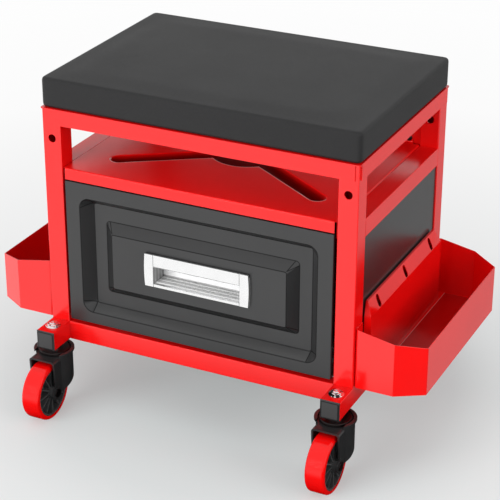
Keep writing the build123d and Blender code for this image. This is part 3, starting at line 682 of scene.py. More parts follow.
class Wardrobe:
    """Makes each finish once and puts it on objects."""

    def __init__(self) -> None:
        """Start with nothing made."""
        self.made: dict[Finish, bpy.types.Material] = {}

    def material(self, finish: Finish) -> bpy.types.Material:
        """The material of a finish, made on first use."""
        if finish not in self.made:
            self.made[finish] = finish.value.make()
        return self.made[finish]

    def dress(self, target: bpy.types.Object, finish: Finish) -> None:
        """Put a finish on every slot of an object.

        Args:
            target: The object.
            finish: What it is dressed with.
        """
        material = self.material(finish)
        if not target.material_slots:
            target.data.materials.append(material)
        for slot in target.material_slots:
            slot.material = material


WARDROBE = Wardrobe()


# Mesh building

WELD_GAP = 0.002
SHARP_ANGLE = math.radians(35)
NORMAL_WEIGHT = 60
MOST_CUT = 0.49


def rounded_path(stations: Sequence[Station], cuts: Sequence[float], steps: int) -> list[Station]:
    """Round the corners of a path of stations.

    Args:
        stations: Points of the path, each with any count of numbers.
        cuts: How far each inner corner is cut back along its neighbours, in the path's units.
        steps: Points on each rounded corner.

    Returns:
        The path with a curve in place of each inner corner.
    """
    def toward(start: Station, end: Station, distance: float) -> Station:
        """The point that lies a distance along the way, but short of its middle."""
        share = min(distance / (math.dist(start, end) or math.inf), MOST_CUT)
        return tuple(a + (b - a) * share for a, b in zip(start, end))

    path = [stations[0]]
    for before, corner, after, cut in zip(stations, stations[1:], stations[2:], cuts):
        first, last = toward(corner, before, cut), toward(corner, after, cut)
        for step in range(steps + 1):
            t = step / steps
            path.append(tuple((1 - t) ** 2 * a + 2 * t * (1 - t) * b + t * t * c
                              for a, b, c in zip(first, corner, last)))
    path.append(stations[-1])
    return path


def arc_points(centre: Flat, radius: float, start: float, end: float, steps: int) -> list[Flat]:
    """Points on an arc between two angles in degrees, both ends included."""
    angles = [math.radians(start + (end - start) * i / steps) for i in range(steps + 1)]
    return [(centre[0] + radius * math.cos(a), centre[1] + radius * math.sin(a)) for a in angles]


def join(name: str, data: bpy.types.ID) -> bpy.types.Object:
    """Add an object to the scene.

    Args:
        name: Name of the object.
        data: Its mesh, lamp or camera.

    Returns:
        The new object.
    """
    target = bpy.data.objects.new(name, data)
    bpy.context.scene.collection.objects.link(target)
    return target


def solid(name: str, made: bmesh.types.BMesh) -> bpy.types.Object:
    """Turn a finished BMesh into a smooth-shaded object.

    Args:
        name: Name of the object and of its mesh.
        made: The BMesh, which is freed.

    Returns:
        The new object.
    """
    mesh = bpy.data.meshes.new(name)
    made.to_mesh(mesh)
    made.free()
    mesh.shade_smooth()
    return join(name, mesh)


class Mesher:
    """Collects points and faces in millimetres and turns them into one object."""

    def __init__(self) -> None:
        """Start empty."""
        self.points: list[Point] = []
        self.faces: list[tuple[int, ...]] = []

    def ring(self, points: Iterable[Point]) -> list[int]:
        """Add points.

        Args:
            points: The points in order.

        Returns:
            Their indices.
        """
        start = len(self.points)
        self.points.extend(points)
        return list(range(start, len(self.points)))

    def loft(self, rows: Sequence[Iterable[Point]], closed: bool = True) -> list[list[int]]:
        """Join rows of the same count with quads, one after another.

        Args:
            rows: The rows of points.
            closed: Whether each row's last point joins its first.

        Returns:
            The indices of each row.
        """
        rings = [self.ring(row) for row in rows]
        count = len(rings[0])
        for first, second in zip(rings, rings[1:]):
            for i in range(count if closed else count - 1):
                j = (i + 1) % count
                self.faces.append((first[i], first[j], second[j], second[i]))
        return rings

    def cap(self, ring: Sequence[int], flip: bool = False) -> None:
        """Close a ring with one face."""
        self.faces.append(tuple(reversed(ring)) if flip else tuple(ring))

    def build(self, name: str, merge: float = 0.0005) -> bpy.types.Object:
        """Make the object, with its normals outward and its points merged.

        Args:
            name: Name of the object.
            merge: Points nearer than this, in millimetres, become one.

        Returns:
            The new object, linked to the scene.
        """
        draft = bpy.data.meshes.new("draft")
        draft.from_pydata([(x * MM, y * MM, z * MM) for x, y, z in self.points], [], self.faces)
        made = bmesh.new()
        made.from_mesh(draft)
        bpy.data.meshes.remove(draft)
        bmesh.ops.remove_doubles(made, verts=made.verts, dist=merge * MM)
        bmesh.ops.recalc_face_normals(made, faces=made.faces)
        return solid(name, made)


def modifier(target: bpy.types.Object, kind: str, **settings: object) -> None:
    """Add a modifier with its settings."""
    made = target.modifiers.new(kind.title().replace("_", ""), kind)
    for key, value in settings.items():
        setattr(made, key, value)


def soften(target: bpy.types.Object, width: float, segments: int = 2) -> None:
    """Break the sharp edges of a carried-over node with a small bevel.

    Args:
        target: The object.
        width: Bevel width in millimetres.
        segments: Faces across the bevel.
    """
    modifier(target, "WELD", merge_threshold=WELD_GAP * MM)
    modifier(target, "BEVEL", width=width * MM, segments=segments, limit_method="ANGLE",
             angle_limit=SHARP_ANGLE, harden_normals=False, use_clamp_overlap=True)
    modifier(target, "WEIGHTED_NORMAL", keep_sharp=False, weight=NORMAL_WEIGHT)


def thicken(target: bpy.types.Object, sheet: float) -> None:
    """Give a surface the thickness of its sheet, in millimetres, behind its outer side."""
    modifier(target, "SOLIDIFY", thickness=sheet * MM, offset=-1.0, use_even_offset=True)
    modifier(target, "WEIGHTED_NORMAL", keep_sharp=False, weight=NORMAL_WEIGHT)


def settle(piece: bpy.types.Object, body: str, slot: str, finish: Finish, *nodes: str) -> None:
    """Dress a new piece, seat it on its body and let it stand for its nodes.

    Args:
        piece: The new piece.
        body: The CAD body that it moves with.
        slot: The record's material slot; not used.
        finish: What it is dressed with.
        nodes: The CAD nodes that it stands for.
    """
    WARDROBE.dress(piece, finish)
    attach(piece, body)
    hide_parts(*nodes)
    LOG.info("%s rides on %s, faces %d", piece.name, body, len(piece.data.polygons))


def keep(names: Iterable[str], finish: Finish, bevel: float = 0.0) -> None:
    """Give carried-over nodes their finish and, where asked, broken edges.

    Args:
        names: The CAD nodes.
        finish: What they are dressed with.
        bevel: Width of their broken edges in millimetres.
    """
    for name in names:
        WARDROBE.dress(NODES[name], finish)
        if bevel:
            soften(NODES[name], bevel)
        LOG.info("%s keeps its node, %s", name, word(finish))


# Sub-assemblies


CLOTH = {"quality": 5, "mass": 0.3, "use_pressure": True, "uniform_pressure_force": 4.0,
         "tension_stiffness": 25.0, "compression_stiffness": 25.0, "bending_stiffness": 0.4}


@dataclass
class Seat:
    """Padded seat on its steel pan."""

    half_width: float = 182.5
    half_depth: float = 125.5
    base: float = 353.0
    top: float = 386.2
    edge: float = 4.0
    corner: float = 6.5
    rim_shares: tuple[float, ...] = (0.0, 0.2, 0.4, 0.65, 1.0)
    draw: float = 0.7
    skin: float = 1.0
    spacing: float = 8.5
    swell: float = 1.7
    held: float = 2.0
    ease: float = 26.0
    ease_power: float = 0.7
    frames: int = 20
    pan_edge: float = 0.5

    def _steps(self, low: float, high: float) -> list[float]:
        """Grid lines between two edges, close together where the edges are rounded.

        Args:
            low: The lower edge.
            high: The upper edge.

        Returns:
            The places of the lines.
        """
        rim = [share * self.corner for share in self.rim_shares]
        count = max(round((high - low - 2 * self.corner) / self.spacing), 1)
        middle = [low + self.corner + (high - low - 2 * self.corner) * i / count for i in range(1, count)]
        return [low + step for step in rim] + middle + [high - step for step in reversed(rim)]

    def _round(self, x: float, y: float, z: float) -> Point:
        """Move a point of the plain box onto the cushion's rounded form.

        Args:
            x: Place across.
            y: Place from front to back.
            z: Height.

        Returns:
            The point on the cushion.
        """
        half_x, half_y, reach = self.half_width, self.half_depth, self.corner
        inner_x = max(-half_x + reach, min(half_x - reach, x))
        inner_y = max(-half_y + reach, min(half_y - reach, y))
        dx, dy = x - inner_x, y - inner_y
        inset = reach - max(abs(dx), abs(dy))
        for level, up in ((self.top, 1), (self.base, -1)):
            below = (level - z) * up
            if inset < self.edge and below < self.edge:
                a, b = self.edge - inset, self.edge - below
                scale = max(a, b) / math.hypot(a, b) if max(a, b) > 0 else 0.0
                inset, z = self.edge - a * scale, level - up * (self.edge - b * scale)
        span = math.hypot(dx, dy)
        if span > 0:
            dx, dy = dx / span * (reach - inset), dy / span * (reach - inset)
        x, y = inner_x + dx, inner_y + dy
        waist = self.draw * math.sin(math.pi * min(max((z - self.base) / (self.top - self.base), 0.0), 1.0))
        if inset < self.skin:
            if abs(dy) > abs(dx):
                y -= math.copysign(waist * (1 - (x / half_x) ** 2), y)
            elif dx:
                x -= math.copysign(waist * (1 - (y / half_y) ** 2), x)
        return (x, y, z)

    def cushion(self) -> bpy.types.Object:
        """The closed form of the cushion in even quads, before it is filled.

        Returns:
            The new object.
        """
        xs = self._steps(-self.half_width, self.half_width)
        ys = self._steps(-self.half_depth, self.half_depth)
        mesher = Mesher()
        for z in (self.base, self.top):
            mesher.loft([[self._round(x, y, z) for x in xs] for y in ys], closed=False)
        rim = [(x, ys[0]) for x in xs] + [(xs[-1], y) for y in ys[1:]]
        rim += [(x, ys[-1]) for x in reversed(xs[:-1])] + [(xs[0], y) for y in reversed(ys[1:-1])]
        mesher.loft([[self._round(x, y, z) for x, y in rim] for z in self._steps(self.base, self.top)])
        return mesher.build("seat_cushion", 0.01)

    def _room(self, point: Vector) -> float:
        """How freely a point may swell.

        Args:
            point: Where it is, in metres.

        Returns:
            0 at the base and the edges, to 1 well inside the top.
        """
        x, y, z = (part / MM for part in point)
        inside = min(self.half_width - abs(x), self.half_depth - abs(y))
        top = min(max((inside - self.held) / self.ease, 0.0), 1.0) ** self.ease_power
        return top if z > self.top - self.skin else 0.0

    def _blow(self, piece: bpy.types.Object, room: Sequence[float]) -> list[Vector]:
        """Fill the cushion as cloth under pressure.

        Args:
            piece: The cushion.
            room: How freely each of its points may move, 0 to 1.

        Returns:
            Where each point comes to rest.
        """
        group = piece.vertex_groups.new(name="held")
        for index, share in enumerate(room):
            group.add([index], 1.0 - share, "REPLACE")
        cloth = piece.modifiers.new("Cloth", "CLOTH")
        for key, value in CLOTH.items():
            setattr(cloth.settings, key, value)
        cloth.settings.vertex_group_mass = group.name
        cloth.settings.effector_weights.gravity = 0.0
        cloth.collision_settings.use_collision = False
        for number in range(1, self.frames + 1):
            bpy.context.scene.frame_set(number)
        blown = piece.evaluated_get(bpy.context.evaluated_depsgraph_get())
        moved = [vertex.co.copy() for vertex in blown.data.vertices]
        bpy.context.scene.frame_set(1)
        piece.modifiers.remove(cloth)
        return moved

    def fill(self, piece: bpy.types.Object) -> None:
        """Blow the cushion up, hold back its edges and keep the result in its mesh.

        Args:
            piece: The cushion in its plain form.
        """
        start = [vertex.co.copy() for vertex in piece.data.vertices]
        room = [self._room(point) for point in start]
        moved, most = self._blow(piece, room), 0.0
        for vertex, old, new, share in zip(piece.data.vertices, start, moved, room):
            step, limit = new - old, self.swell * MM * share
            if step.length > limit:
                step *= limit / step.length
            most = max(most, step.length)
            vertex.co = old + step
        LOG.info("cushion filled, most movement %.2f mm", most / MM)

    def build(self) -> None:
        """Make and dress the seat."""
        cushion = self.cushion()
        self.fill(cushion)
        modifier(cushion, "SUBSURF", levels=1, render_levels=1)
        settle(cushion, "stool", "black_vinyl", Finish.VINYL, "seat_cover")
        keep(["seat_foam"], Finish.FOAM)
        keep(["seat_board"], Finish.PLY)
        keep(["seat_pan"], Finish.RED, self.pan_edge)


@dataclass
class PanHeads:
    """Pan-head screws with a cross recess, standing for one node.

    Each place is a seat under the head, the head's direction and the shank's length.
    The dome is pairs of shares of the head's radius and height.
    """

    node: str
    head_radius: float
    head: float
    places: list[tuple[Point, Point, float]]
    body: str = "stool"
    finish: Finish = Finish.ZINC
    shank_radius: float = 2.0
    tip: float = 0.5
    tip_share: float = 0.25
    dome: tuple[Flat, ...] = ((1.0, 0.0), (1.0, 0.35), (0.93, 0.68), (0.74, 0.92), (0.62, 1.0))
    recess: float = 0.55
    recess_taper: float = 0.8
    arm: float = 0.55
    blade: float = 0.16
    waist: float = 0.6
    segments: int = 24

    def build(self) -> None:
        """Make the screws."""
        mesher = Mesher()
        for seat, way, length in self.places:
            turn = Vector((0, 0, 1)).rotation_difference(Vector(way))
            self.one(mesher, Matrix.Translation(Vector(seat)) @ turn.to_matrix().to_4x4(), length)
        settle(mesher.build(self.node + "_heads"), self.body, "zinc", self.finish, self.node)

    def _cross(self, turn: float) -> float:
        """How far the cross recess reaches in one direction.

        Args:
            turn: The direction in radians.

        Returns:
            The reach to the end or the side of a blade, or to the corner between two.
        """
        across, along = sorted((abs(math.cos(turn)), abs(math.sin(turn))))
        arm, blade = self.head_radius * self.arm, self.head_radius * self.blade
        if across / along >= self.waist:
            return blade * math.sqrt(2.0)
        return min(arm / along, blade / across if across > 1e-6 else arm)

    def one(self, mesher: Mesher, placed: Matrix, length: float) -> None:
        """A domed head with a cross recess over a round shank.

        Args:
            mesher: Where the screw is added.
            placed: Placement of the seat, with the head along Z.
            length: How far the shank reaches below the seat.
        """
        turns = [math.tau * i / self.segments for i in range(self.segments)]
        shank, head = self.shank_radius, self.head
        levels = [(self.tip_share * shank, -length), (shank, self.tip - length), (shank, 0.0)]
        levels += [(self.head_radius * share, head * height) for share, height in self.dome]
        rows = [([reach] * len(turns), height) for reach, height in levels]
        for height, taper in ((head, 1.0), (head - head * self.recess, self.recess_taper)):
            rows.append(([self._cross(turn) * taper for turn in turns], height))
        rings = mesher.loft([[tuple(placed @ Vector((reach * math.cos(turn), reach * math.sin(turn), height)))
                              for reach, turn in zip(reaches, turns)] for reaches, height in rows])
        mesher.cap(rings[0], flip=True)
        mesher.cap(rings[-1])


@dataclass
class Shelf:
    """Pressed tool shelf with a front lip, side flanges, a rear upstand and a cross-shaped recess."""

    reach: float = 159.5
    lip_reach: float = 156.5
    upstand_reach: float = 152.0
    front: float = -125.6
    back: float = 104.4
    rear_edge: float = 103.6
    top: float = 287.7
    sheet: float = 1.2
    lip: float = 13.0
    flange: float = 18.5
    upstand: float = 20.0
    bend: float = 2.0
    disc: float = 41.0
    arm_reach: float = 150.0
    arm_half: float = 10.0
    arm_angle: float = 33.7
    recess: float = 5.0
    bar: float = 12.5
    fillet: float = 1.5
    rings: tuple[float, ...] = (1.6, 0.0, -0.3, -0.7, -1.3, -2.2, -3.2, -4.2, -5.0, -6.5, -8.0, -9.4)
    rim_drop: float = 0.12
    search_from: float = 5.0
    search_past: float = 10.0
    halvings: int = 40
    fan_steps: int = 60
    fan_pull: float = 3.9
    fan_half: float = 0.55
    even_steps: int = 72
    least_turn: float = 0.0006
    bend_steps: int = 5

    def _spines(self, x: float, y: float) -> list[float]:
        """How far a point lies from the middle line of each arm."""
        spine, turn = self.arm_reach - self.arm_half, math.radians(self.arm_angle)
        return [math.hypot(max(abs(x * math.cos(t) + y * math.sin(t)) - spine, 0.0),
                           y * math.cos(t) - x * math.sin(t)) for t in (turn, -turn)]

    def _distance(self, x: float, y: float) -> float:
        """Signed distance to the edge of the recess, softened where arms and disc meet.

        Args:
            x: Place across.
            y: Place from front to back.

        Returns:
            The distance, below 0 inside.
        """
        nearest = math.hypot(x, y) - self.disc
        for away in self._spines(x, y):
            arm = away - self.arm_half
            mixed = max(self.fillet - abs(nearest - arm), 0.0) / self.fillet
            nearest = min(nearest, arm) - mixed * mixed * self.fillet * 0.25
        return nearest

    def _depth(self, x: float, y: float) -> float:
        """How deep the recess is: round bars along the arms, a cone with a flat floor in the middle.

        Args:
            x: Place across.
            y: Place from front to back.

        Returns:
            The depth below the shelf's top.
        """
        deep = min(max(self.disc - math.hypot(x, y), 0.0), self.recess)
        for away in self._spines(x, y):
            if away < self.arm_half:
                deep = max(deep, math.sqrt(self.bar ** 2 - away ** 2) - self.bar + self.recess)
        return deep

    def _edge_point(self, angle: float, level: float) -> Flat:
        """Where a ray from the middle leaves the recess grown by a level.

        Args:
            angle: Direction of the ray in radians.
            level: How far the recess is grown.

        Returns:
            The point in plan.
        """
        low, high = self.search_from, self.arm_reach + self.search_past
        c, s = math.cos(angle), math.sin(angle)
        for _ in range(self.halvings):
            middle = (low + high) / 2
            if self._distance(middle * c, middle * s) < level:
                low = middle
            else:
                high = middle
        return (low * c, low * s)

    def _angles(self) -> list[float]:
        """Directions round the middle, packed closely about the arms.

        Returns:
            The directions in radians, in order.
        """
        found = [math.tau * step / self.even_steps for step in range(self.even_steps)]
        for arm in (self.arm_angle, -self.arm_angle, self.arm_angle + 180, -self.arm_angle + 180):
            for step in range(-self.fan_steps, self.fan_steps + 1):
                pulled = math.sinh(step / self.fan_steps * self.fan_pull) / math.sinh(self.fan_pull)
                found.append((math.radians(arm) + math.atan(pulled * self.fan_half)) % math.tau)
        found.sort()
        kept = found[:1]
        for angle in found[1:]:
            if angle - kept[-1] > self.least_turn:
                kept.append(angle)
        return kept

    def plate(self, made: bmesh.types.BMesh) -> None:
        """The flat sheet with its recess.

        Args:
            made: Where the sheet is added.
        """
        angles = self._angles()
        rings = []
        for level in self.rings:
            ring = []
            for angle in angles:
                x, y = self._edge_point(angle, level)
                z = self.top - self._depth(x, y) - (self.rim_drop if level == 0.0 else 0.0)
                ring.append(made.verts.new(Vector((x, y, z)) * MM))
            rings.append(ring)
        for first, second in zip(rings, rings[1:]):
            for i in range(len(angles)):
                j = (i + 1) % len(angles)
                made.faces.new((first[i], first[j], second[j], second[i]))
        made.faces.new(rings[-1])
        side, rear = self.reach - self.bend, self.back - self.bend
        front = self.front + self.bend
        inner_front = self.front + self.sheet
        corners = [(-side, inner_front), (-self.lip_reach, inner_front), (-self.lip_reach, front),
                   (self.lip_reach, front), (self.lip_reach, inner_front), (side, inner_front),
                   (side, self.rear_edge), (self.upstand_reach, self.rear_edge),
                   (self.upstand_reach, rear), (-self.upstand_reach, rear),
                   (-self.upstand_reach, self.rear_edge), (-side, self.rear_edge)]
        border = [made.verts.new(Vector((x, y, self.top)) * MM) for x, y in corners]
        edges = [made.edges.new((a, b)) for a, b in zip(border, border[1:] + border[:1])]
        edges += [made.edges.get((a, b)) for a, b in zip(rings[0], rings[0][1:] + rings[0][:1])]
        bmesh.ops.triangle_fill(made, use_beauty=True, use_dissolve=False, edges=edges)

    def strip(self, made: bmesh.types.BMesh, rows: Sequence[tuple[Point, Point]]) -> None:
        """A bent strip through rows of two end points.

        Args:
            made: Where the strip is added.
            rows: Its two end points at each bend.
        """
        verts = [[made.verts.new(Vector(p) * MM) for p in row] for row in rows]
        for (a, b), (c, d) in zip(verts, verts[1:]):
            made.faces.new((a, b, d, c))

    def turned(self, edge: float, way: int, start: int, end: int, far: float) -> list[Flat]:
        """The section of an edge that is turned up or down from the sheet.

        Args:
            edge: Where the turned sheet stands.
            way: 1 for an edge on the positive side, -1 for one on the other.
            start: Angle in degrees at which the bend leaves the sheet.
            end: Angle at which the bend ends.
            far: How far the edge reaches above the sheet, or below it if less than 0.

        Returns:
            Points out and up, from the sheet to the edge's end.
        """
        middle = (edge - way * self.bend, self.top + math.copysign(self.bend, far))
        return [*arc_points(middle, self.bend, start, end, self.bend_steps), (edge, self.top + far)]

    def build(self) -> None:
        """Make and dress the shelf."""
        made = bmesh.new()
        self.plate(made)
        low, high = self.front + self.sheet, self.rear_edge
        front = self.turned(self.front, -1, 90, 180, -self.lip)
        self.strip(made, [((-self.lip_reach, y, z), (self.lip_reach, y, z)) for y, z in front])
        rear = self.turned(self.back, 1, -90, 0, self.upstand)
        self.strip(made, [((self.upstand_reach, y, z), (-self.upstand_reach, y, z)) for y, z in rear])
        for sign in SIGNS:
            bent = self.turned(self.reach, 1, 90, 0, -self.flange)
            self.strip(made, [((sign * x, low, z), (sign * x, high, z)) for x, z in bent])
        bmesh.ops.remove_doubles(made, verts=made.verts, dist=WELD_GAP * MM)
        bmesh.ops.recalc_face_normals(made, faces=made.faces)
        if max(made.faces, key=lambda f: f.calc_area()).normal.z < 0:
            bmesh.ops.reverse_faces(made, faces=made.faces)
        piece = solid("shelf_sheet", made)
        thicken(piece, self.sheet)
        settle(piece, "stool", "red_paint", Finish.SHELF, "tool_shelf")


@dataclass
class DrawerFace:
    """Pressed drawer front: a border, a sunk moat and a raised field round the pull.

    Each outline is a half width, a low and a high edge and a corner radius.
    """

    rim: Station = (156.5, 107.4, 273.4, 0.8)
    moat: Station = (139.7, 120.9, 256.7, 12.0)
    floor: Station = (128.9, 127.9, 247.7, 3.0)
    base: Station = (114.2, 145.0, 229.2, 4.5)
    raised: Station = (103.2, 154.2, 218.3, 2.0)
    opening: Station = (53.2, 171.0, 205.6, 0.6)
    face: float = -126.4
    back_edge: float = -120.4
    floor_y: float = -113.3
    raised_y: float = -122.5
    sheet: float = 1.0
    bends: tuple[float, ...] = (0.9, 1.3, 1.6, 1.6, 1.3)
    bend_steps: int = 4
    corner_steps: int = 10
    least_corner: float = 0.05

    def ring(self, half: float, low: float, high: float, corner: float, y: float) -> list[Point]:
        """A rounded rectangle facing the front.

        Args:
            half: Half its width.
            low: Its lower edge.
            high: Its upper edge.
            corner: Radius of its corners.
            y: Where it stands.

        Returns:
            Its points in order.
        """
        corner = max(corner, self.least_corner)
        right, left, top, bottom = half - corner, corner - half, high - corner, low + corner
        points: list[Point] = []
        for turn, place in enumerate(((right, top), (left, top), (left, bottom), (right, bottom))):
            arc = arc_points(place, corner, 90 * turn, 90 * turn + 90, self.corner_steps)
            points += [(x, y, z) for x, z in arc]
        return points

    def build(self) -> None:
        """Make and dress the drawer front."""
        stations = [
            (*self.rim, self.back_edge), (*self.rim, self.face), (*self.moat, self.face),
            (*self.floor, self.floor_y), (*self.base, self.floor_y), (*self.raised, self.raised_y),
            (*self.opening, self.raised_y),
        ]
        mesher = Mesher()
        mesher.loft([self.ring(*station) for station in rounded_path(stations, self.bends, self.bend_steps)])
        piece = mesher.build("drawer_face", 0.001)
        if piece.data.polygons[0].normal.y > 0.5:
            piece.data.flip_normals()
        thicken(piece, self.sheet)
        settle(piece, "drawer", "grey_paint", Finish.FRONT, "drawer_front")


@dataclass
class Drawer:
    """Drawer box, its pull and the slides."""

    face: DrawerFace = field(default_factory=DrawerFace)
    box_edge: float = 0.3
    pull_edge: float = 0.2
    slide_edge: float = 0.25

    def build(self) -> None:
        """Make and dress the drawer."""
        self.face.build()
        keep(["drawer_box"], Finish.GREY, self.box_edge)
        keep(["handle_cup", "handle_end_caps"], Finish.CUP, self.pull_edge)
        slides = [f"slide_{part}_{side}" for part in ("outer", "middle", "inner") for side in SIDES]
        keep(slides, Finish.ZINC, self.slide_edge)


@dataclass
class Frame:
    """Welded tube frame, its caps and the sheets of the cabinet."""

    tube_edge: float = 0.25
    sheet_edge: float = 0.2

    def build(self) -> None:
        """Dress the frame."""
        tubes = [f"leg_{corner}" for corner in CORNERS] + ["front_rail", "rear_rail", "upper_rail_rear"]
        tubes += [f"{name}_{side}" for name in ("side_tube", "upper_rail") for side in SIDES]
        keep(tubes, Finish.RED, self.tube_edge)
        keep(["tube_caps"], Finish.CAP, self.tube_edge)
        keep([f"side_panel_{side}" for side in SIDES] + ["back_panel"], Finish.GREY, self.sheet_edge)


@dataclass
class Bins:
    """Bent sheet-steel bins with their tool racks."""

    edge: float = 0.25

    def build(self) -> None:
        """Dress the bins."""
        for part, finish in (("wall", Finish.RED), ("tray", Finish.BIN)):
            keep([f"bin_{part}_{side}" for side in SIDES], finish, self.edge)


@dataclass
class Casters:
    """Four swivel casters."""

    fork_edge: float = 0.35
    edge: float = 0.2

    def build(self) -> None:
        """Dress the casters."""
        wheels = (("caster_fork", Finish.BLACK, self.fork_edge), ("wheel_hub", Finish.HUB, self.edge),
                  ("wheel_tyre", Finish.TYRE, 0.0), ("wheel_axle", Finish.DARK, self.edge))
        for part, finish, edge in wheels:
            keep([f"{part}_{corner}" for corner in CORNERS], finish, edge)
        swivels = {"caster_stems": Finish.CHROME, "stem_nuts": Finish.NUT, "caster_races": Finish.DARK}
        for node, finish in swivels.items():
            keep([node], finish, self.edge)


def aimed(name: str, data: bpy.types.ID, place: Point, way: Vector, roll: float = 0.0) -> bpy.types.Object:
    """A lamp or camera that looks along a direction.

    Args:
        name: Name of the object.
        data: The lamp or camera.
        place: Where it stands, in metres.
        way: The direction.
        roll: Turn about the direction in degrees.

    Returns:
        The new object.
    """
    target = join(name, data)
    target.location = place
    target.rotation_mode = "QUATERNION"
    target.rotation_quaternion = way.to_track_quat("-Z", "Y") @ Quaternion((0, 0, 1), math.radians(roll))
    return target


@dataclass(frozen=True)
class Lamp:
    """A soft rectangular lamp, hidden from gloss: its place, size and aim in metres, its power in watts."""

    name: str
    place: Point
    size: Flat
    power: float
    aim: Point = (0.0, 0.0, 0.2)

    def build(self) -> None:
        """Set the lamp up."""
        data = bpy.data.lights.new(self.name, "AREA")
        data.shape, data.energy = "RECTANGLE", self.power
        data.size, data.size_y = self.size
        aimed(self.name, data, self.place, Vector(self.aim) - Vector(self.place)).visible_glossy = False


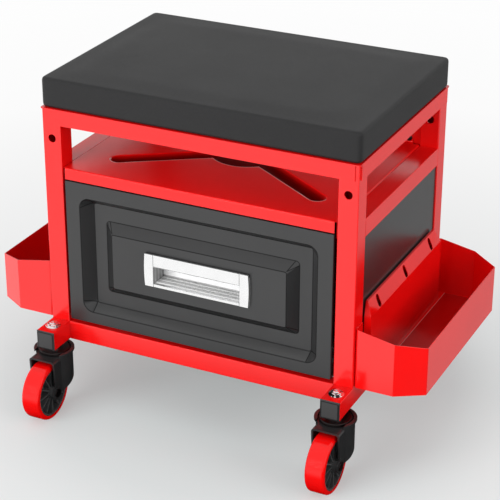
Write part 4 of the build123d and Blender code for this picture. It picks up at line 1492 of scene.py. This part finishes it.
@dataclass
class Studio:
    """Camera, lamps, floor and surroundings."""

    position: Point = (0.76003, -1.56902, 1.00154)
    forward: Point = (-0.39265, 0.81282, -0.43029)
    roll: float = 0.16
    lens: float = 124.3
    sensor: float = 36.0
    shift: Flat = (0.0008, -0.001)
    sight: float = 50.0
    lamps: tuple[Lamp, ...] = (
        Lamp("key", (-1.0, -2.8, 1.05), (2.2, 1.4), 78.0), Lamp("fill", (2.7, -0.5, 0.9), (1.8, 1.4), 44.0),
        Lamp("top", (0.0, -0.5, 3.0), (2.5, 2.5), 14.0))
    bright_side: Point = (-0.35, -0.82, 0.45)
    world_dim: float = 0.05
    world_bright: float = 0.6
    world_gloss: float = 0.8
    world_white: float = 0.98
    floor_size: float = 12.0
    floor_tones: Flat = (0.62, 0.64)
    # A cool tint near the stool: painted light that cancels the red light bounced onto the floor
    floor_near: Colour = (0.51, 0.61, 0.61)
    floor_white: float = 0.985
    reach_span: float = 1.6
    reach_stops: tuple[Flat, ...] = (
        (0.0, 0.24), (0.15, 0.35), (0.2, 0.52), (0.3, 0.73), (0.6, 0.96), (0.9, 1.0))
    mirror_stretch: float = 1.13
    mirror_stops: tuple[Flat, ...] = ((0.2, 0.0), (0.24, 0.1), (0.3, 0.9), (0.34, 1.0))
    patch_centre: Flat = (0.56, -0.25)
    patch_half: Flat = (0.36, 0.28)
    patch_stops: tuple[Flat, ...] = ((0.45, 0.0), (0.56, 1.0))
    turn_stops: tuple[Flat, ...] = ((0.4, 1.0), (0.68, 0.42))

    def camera(self) -> None:
        """A long lens at the photograph's angle."""
        data = bpy.data.cameras.new("camera")
        data.lens, data.sensor_width, data.clip_end = self.lens, self.sensor, self.sight
        data.shift_x, data.shift_y = self.shift
        bpy.context.scene.camera = aimed("camera", data, self.position, Vector(self.forward), self.roll)

    def surroundings(self) -> None:
        """A plain world, pale where the camera, gloss or glass sees it and dimmer behind the stool."""
        graph = Graph("studio", bpy.data.worlds)
        way = graph.node("ShaderNodeTexCoord", output="Generated")
        toward = graph.node("ShaderNodeVectorMath", {"operation": "DOT_PRODUCT"},
                            {0: way, 1: self.bright_side}, "Value")
        level = graph.ramp(toward * 0.5 + 0.5, (0.1, self.world_dim), (0.9, self.world_bright))
        soft, pale, white = (graph.glow("ShaderNodeBackground", tone)
                             for tone in (level, self.world_gloss, self.world_white))
        camera, glossy, through = graph.rays("Camera", "Glossy", "Transmission")
        surface = graph.mix(camera | through, graph.mix(glossy, soft, pale), white)
        graph.node("ShaderNodeOutputWorld", inputs={"Surface": surface})
        bpy.context.scene.world = graph.owner

    def _mirrored(self, graph: Graph) -> Signal:
        """What gloss sees of the floor: dark near the stool and in one patch, and dimmer to the right.

        Args:
            graph: The graph of the floor.

        Returns:
            The level, 0 to 1.
        """
        x, y, _ = graph.axes()
        near = graph.ramp((abs(x) * self.mirror_stretch) | abs(y), *self.mirror_stops)
        (mid_x, mid_y), (half_x, half_y) = self.patch_centre, self.patch_half
        patch = (abs(x - mid_x) / half_x) | (abs(y - mid_y) / half_y)
        return near * graph.ramp(patch * 0.5, *self.patch_stops) * graph.ramp(
            (x + y) * 0.5 + 0.5, *self.turn_stops)

    def floor(self) -> None:
        """A pale matte floor that turns white away from the stool and keeps its shadow."""
        graph = Graph("studio_floor")
        place = graph.place()
        plain = graph.blend(graph.noise(place, 3.0, 2.0), *((tone, tone, tone) for tone in self.floor_tones))
        apart = graph.node("ShaderNodeVectorMath", {"operation": "LENGTH"}, {0: place}, "Value")
        reach = graph.ramp(apart / self.reach_span, *self.reach_stops)
        matte = graph.surface(Base_Color=graph.blend(reach, self.floor_near, plain), Roughness=0.7,
                              Specular_IOR_Level=0.1)
        camera, glossy, through = graph.rays("Camera", "Glossy", "Transmission")
        white, shine = (graph.glow("ShaderNodeEmission", tone)
                        for tone in (self.floor_white, self._mirrored(graph)))
        seen = graph.mix(reach * (camera | through), matte, white)
        half = self.floor_size / 2 / MM
        mesher = Mesher()
        mesher.cap(mesher.ring([(x * half, y * half, 0.0) for x, y in ((-1, -1), (1, -1), (1, 1), (-1, 1))]))
        ground = mesher.build("floor")
        ground.data.materials.append(graph.close(graph.mix(glossy, seen, shine)))

    def build(self) -> None:
        """Set everything up."""
        self.camera()
        self.surroundings()
        self.floor()
        for lamp in self.lamps:
            lamp.build()
        bpy.context.scene.view_settings.view_transform = "Standard"


def screws() -> list[PanHeads]:
    """Every group of screws, with its places.

    Returns:
        The groups.
    """
    down, back, front = (0, 0, -1), (0, 1, 0), (0, -1, 0)
    rail, box, slide = 158.3, 148.0, 125.0
    return [
        PanHeads("seat_screws", 4.5, 2.0, [
            ((sx * 137.5, sy * 80.5, 351.8), down, 8.2) for sx in SIGNS for sy in SIGNS]),
        # The shelf screws take the dark finish as painted shade under the seat
        PanHeads("shelf_screws", 3.6, 1.6, [((sx * 147.0, 104.4, 293.7), front, 4.7) for sx in SIGNS],
                 finish=Finish.DARK),
        PanHeads("handle_screws", 3.8, 2.0, [
            ((sx * 57.0, -111.3, 188.25), back, 13.5) for sx in SIGNS], "drawer"),
        PanHeads("slide_rail_screws", 3.4, 1.4, [
            ((sx * rail, y, slide), (-sx, 0, 0), 4.7) for sx in SIGNS for y in (-115.1, 107.9)]),
        PanHeads("slide_drawer_screws", 3.4, 1.4, [
            ((sx * box, y, slide), (sx, 0, 0), 4.2) for sx in SIGNS for y in (-107.8, 95.2)], "drawer"),
    ]


def main() -> None:
    """Build the stool and its studio in order."""
    logging.basicConfig(level=logging.INFO, format="%(message)s")
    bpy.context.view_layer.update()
    for part in (Studio(), Frame(), Shelf(), Drawer(), Bins(), Casters(), Seat(), *screws()):
        part.build()


if __name__ == "__main__":
    main()
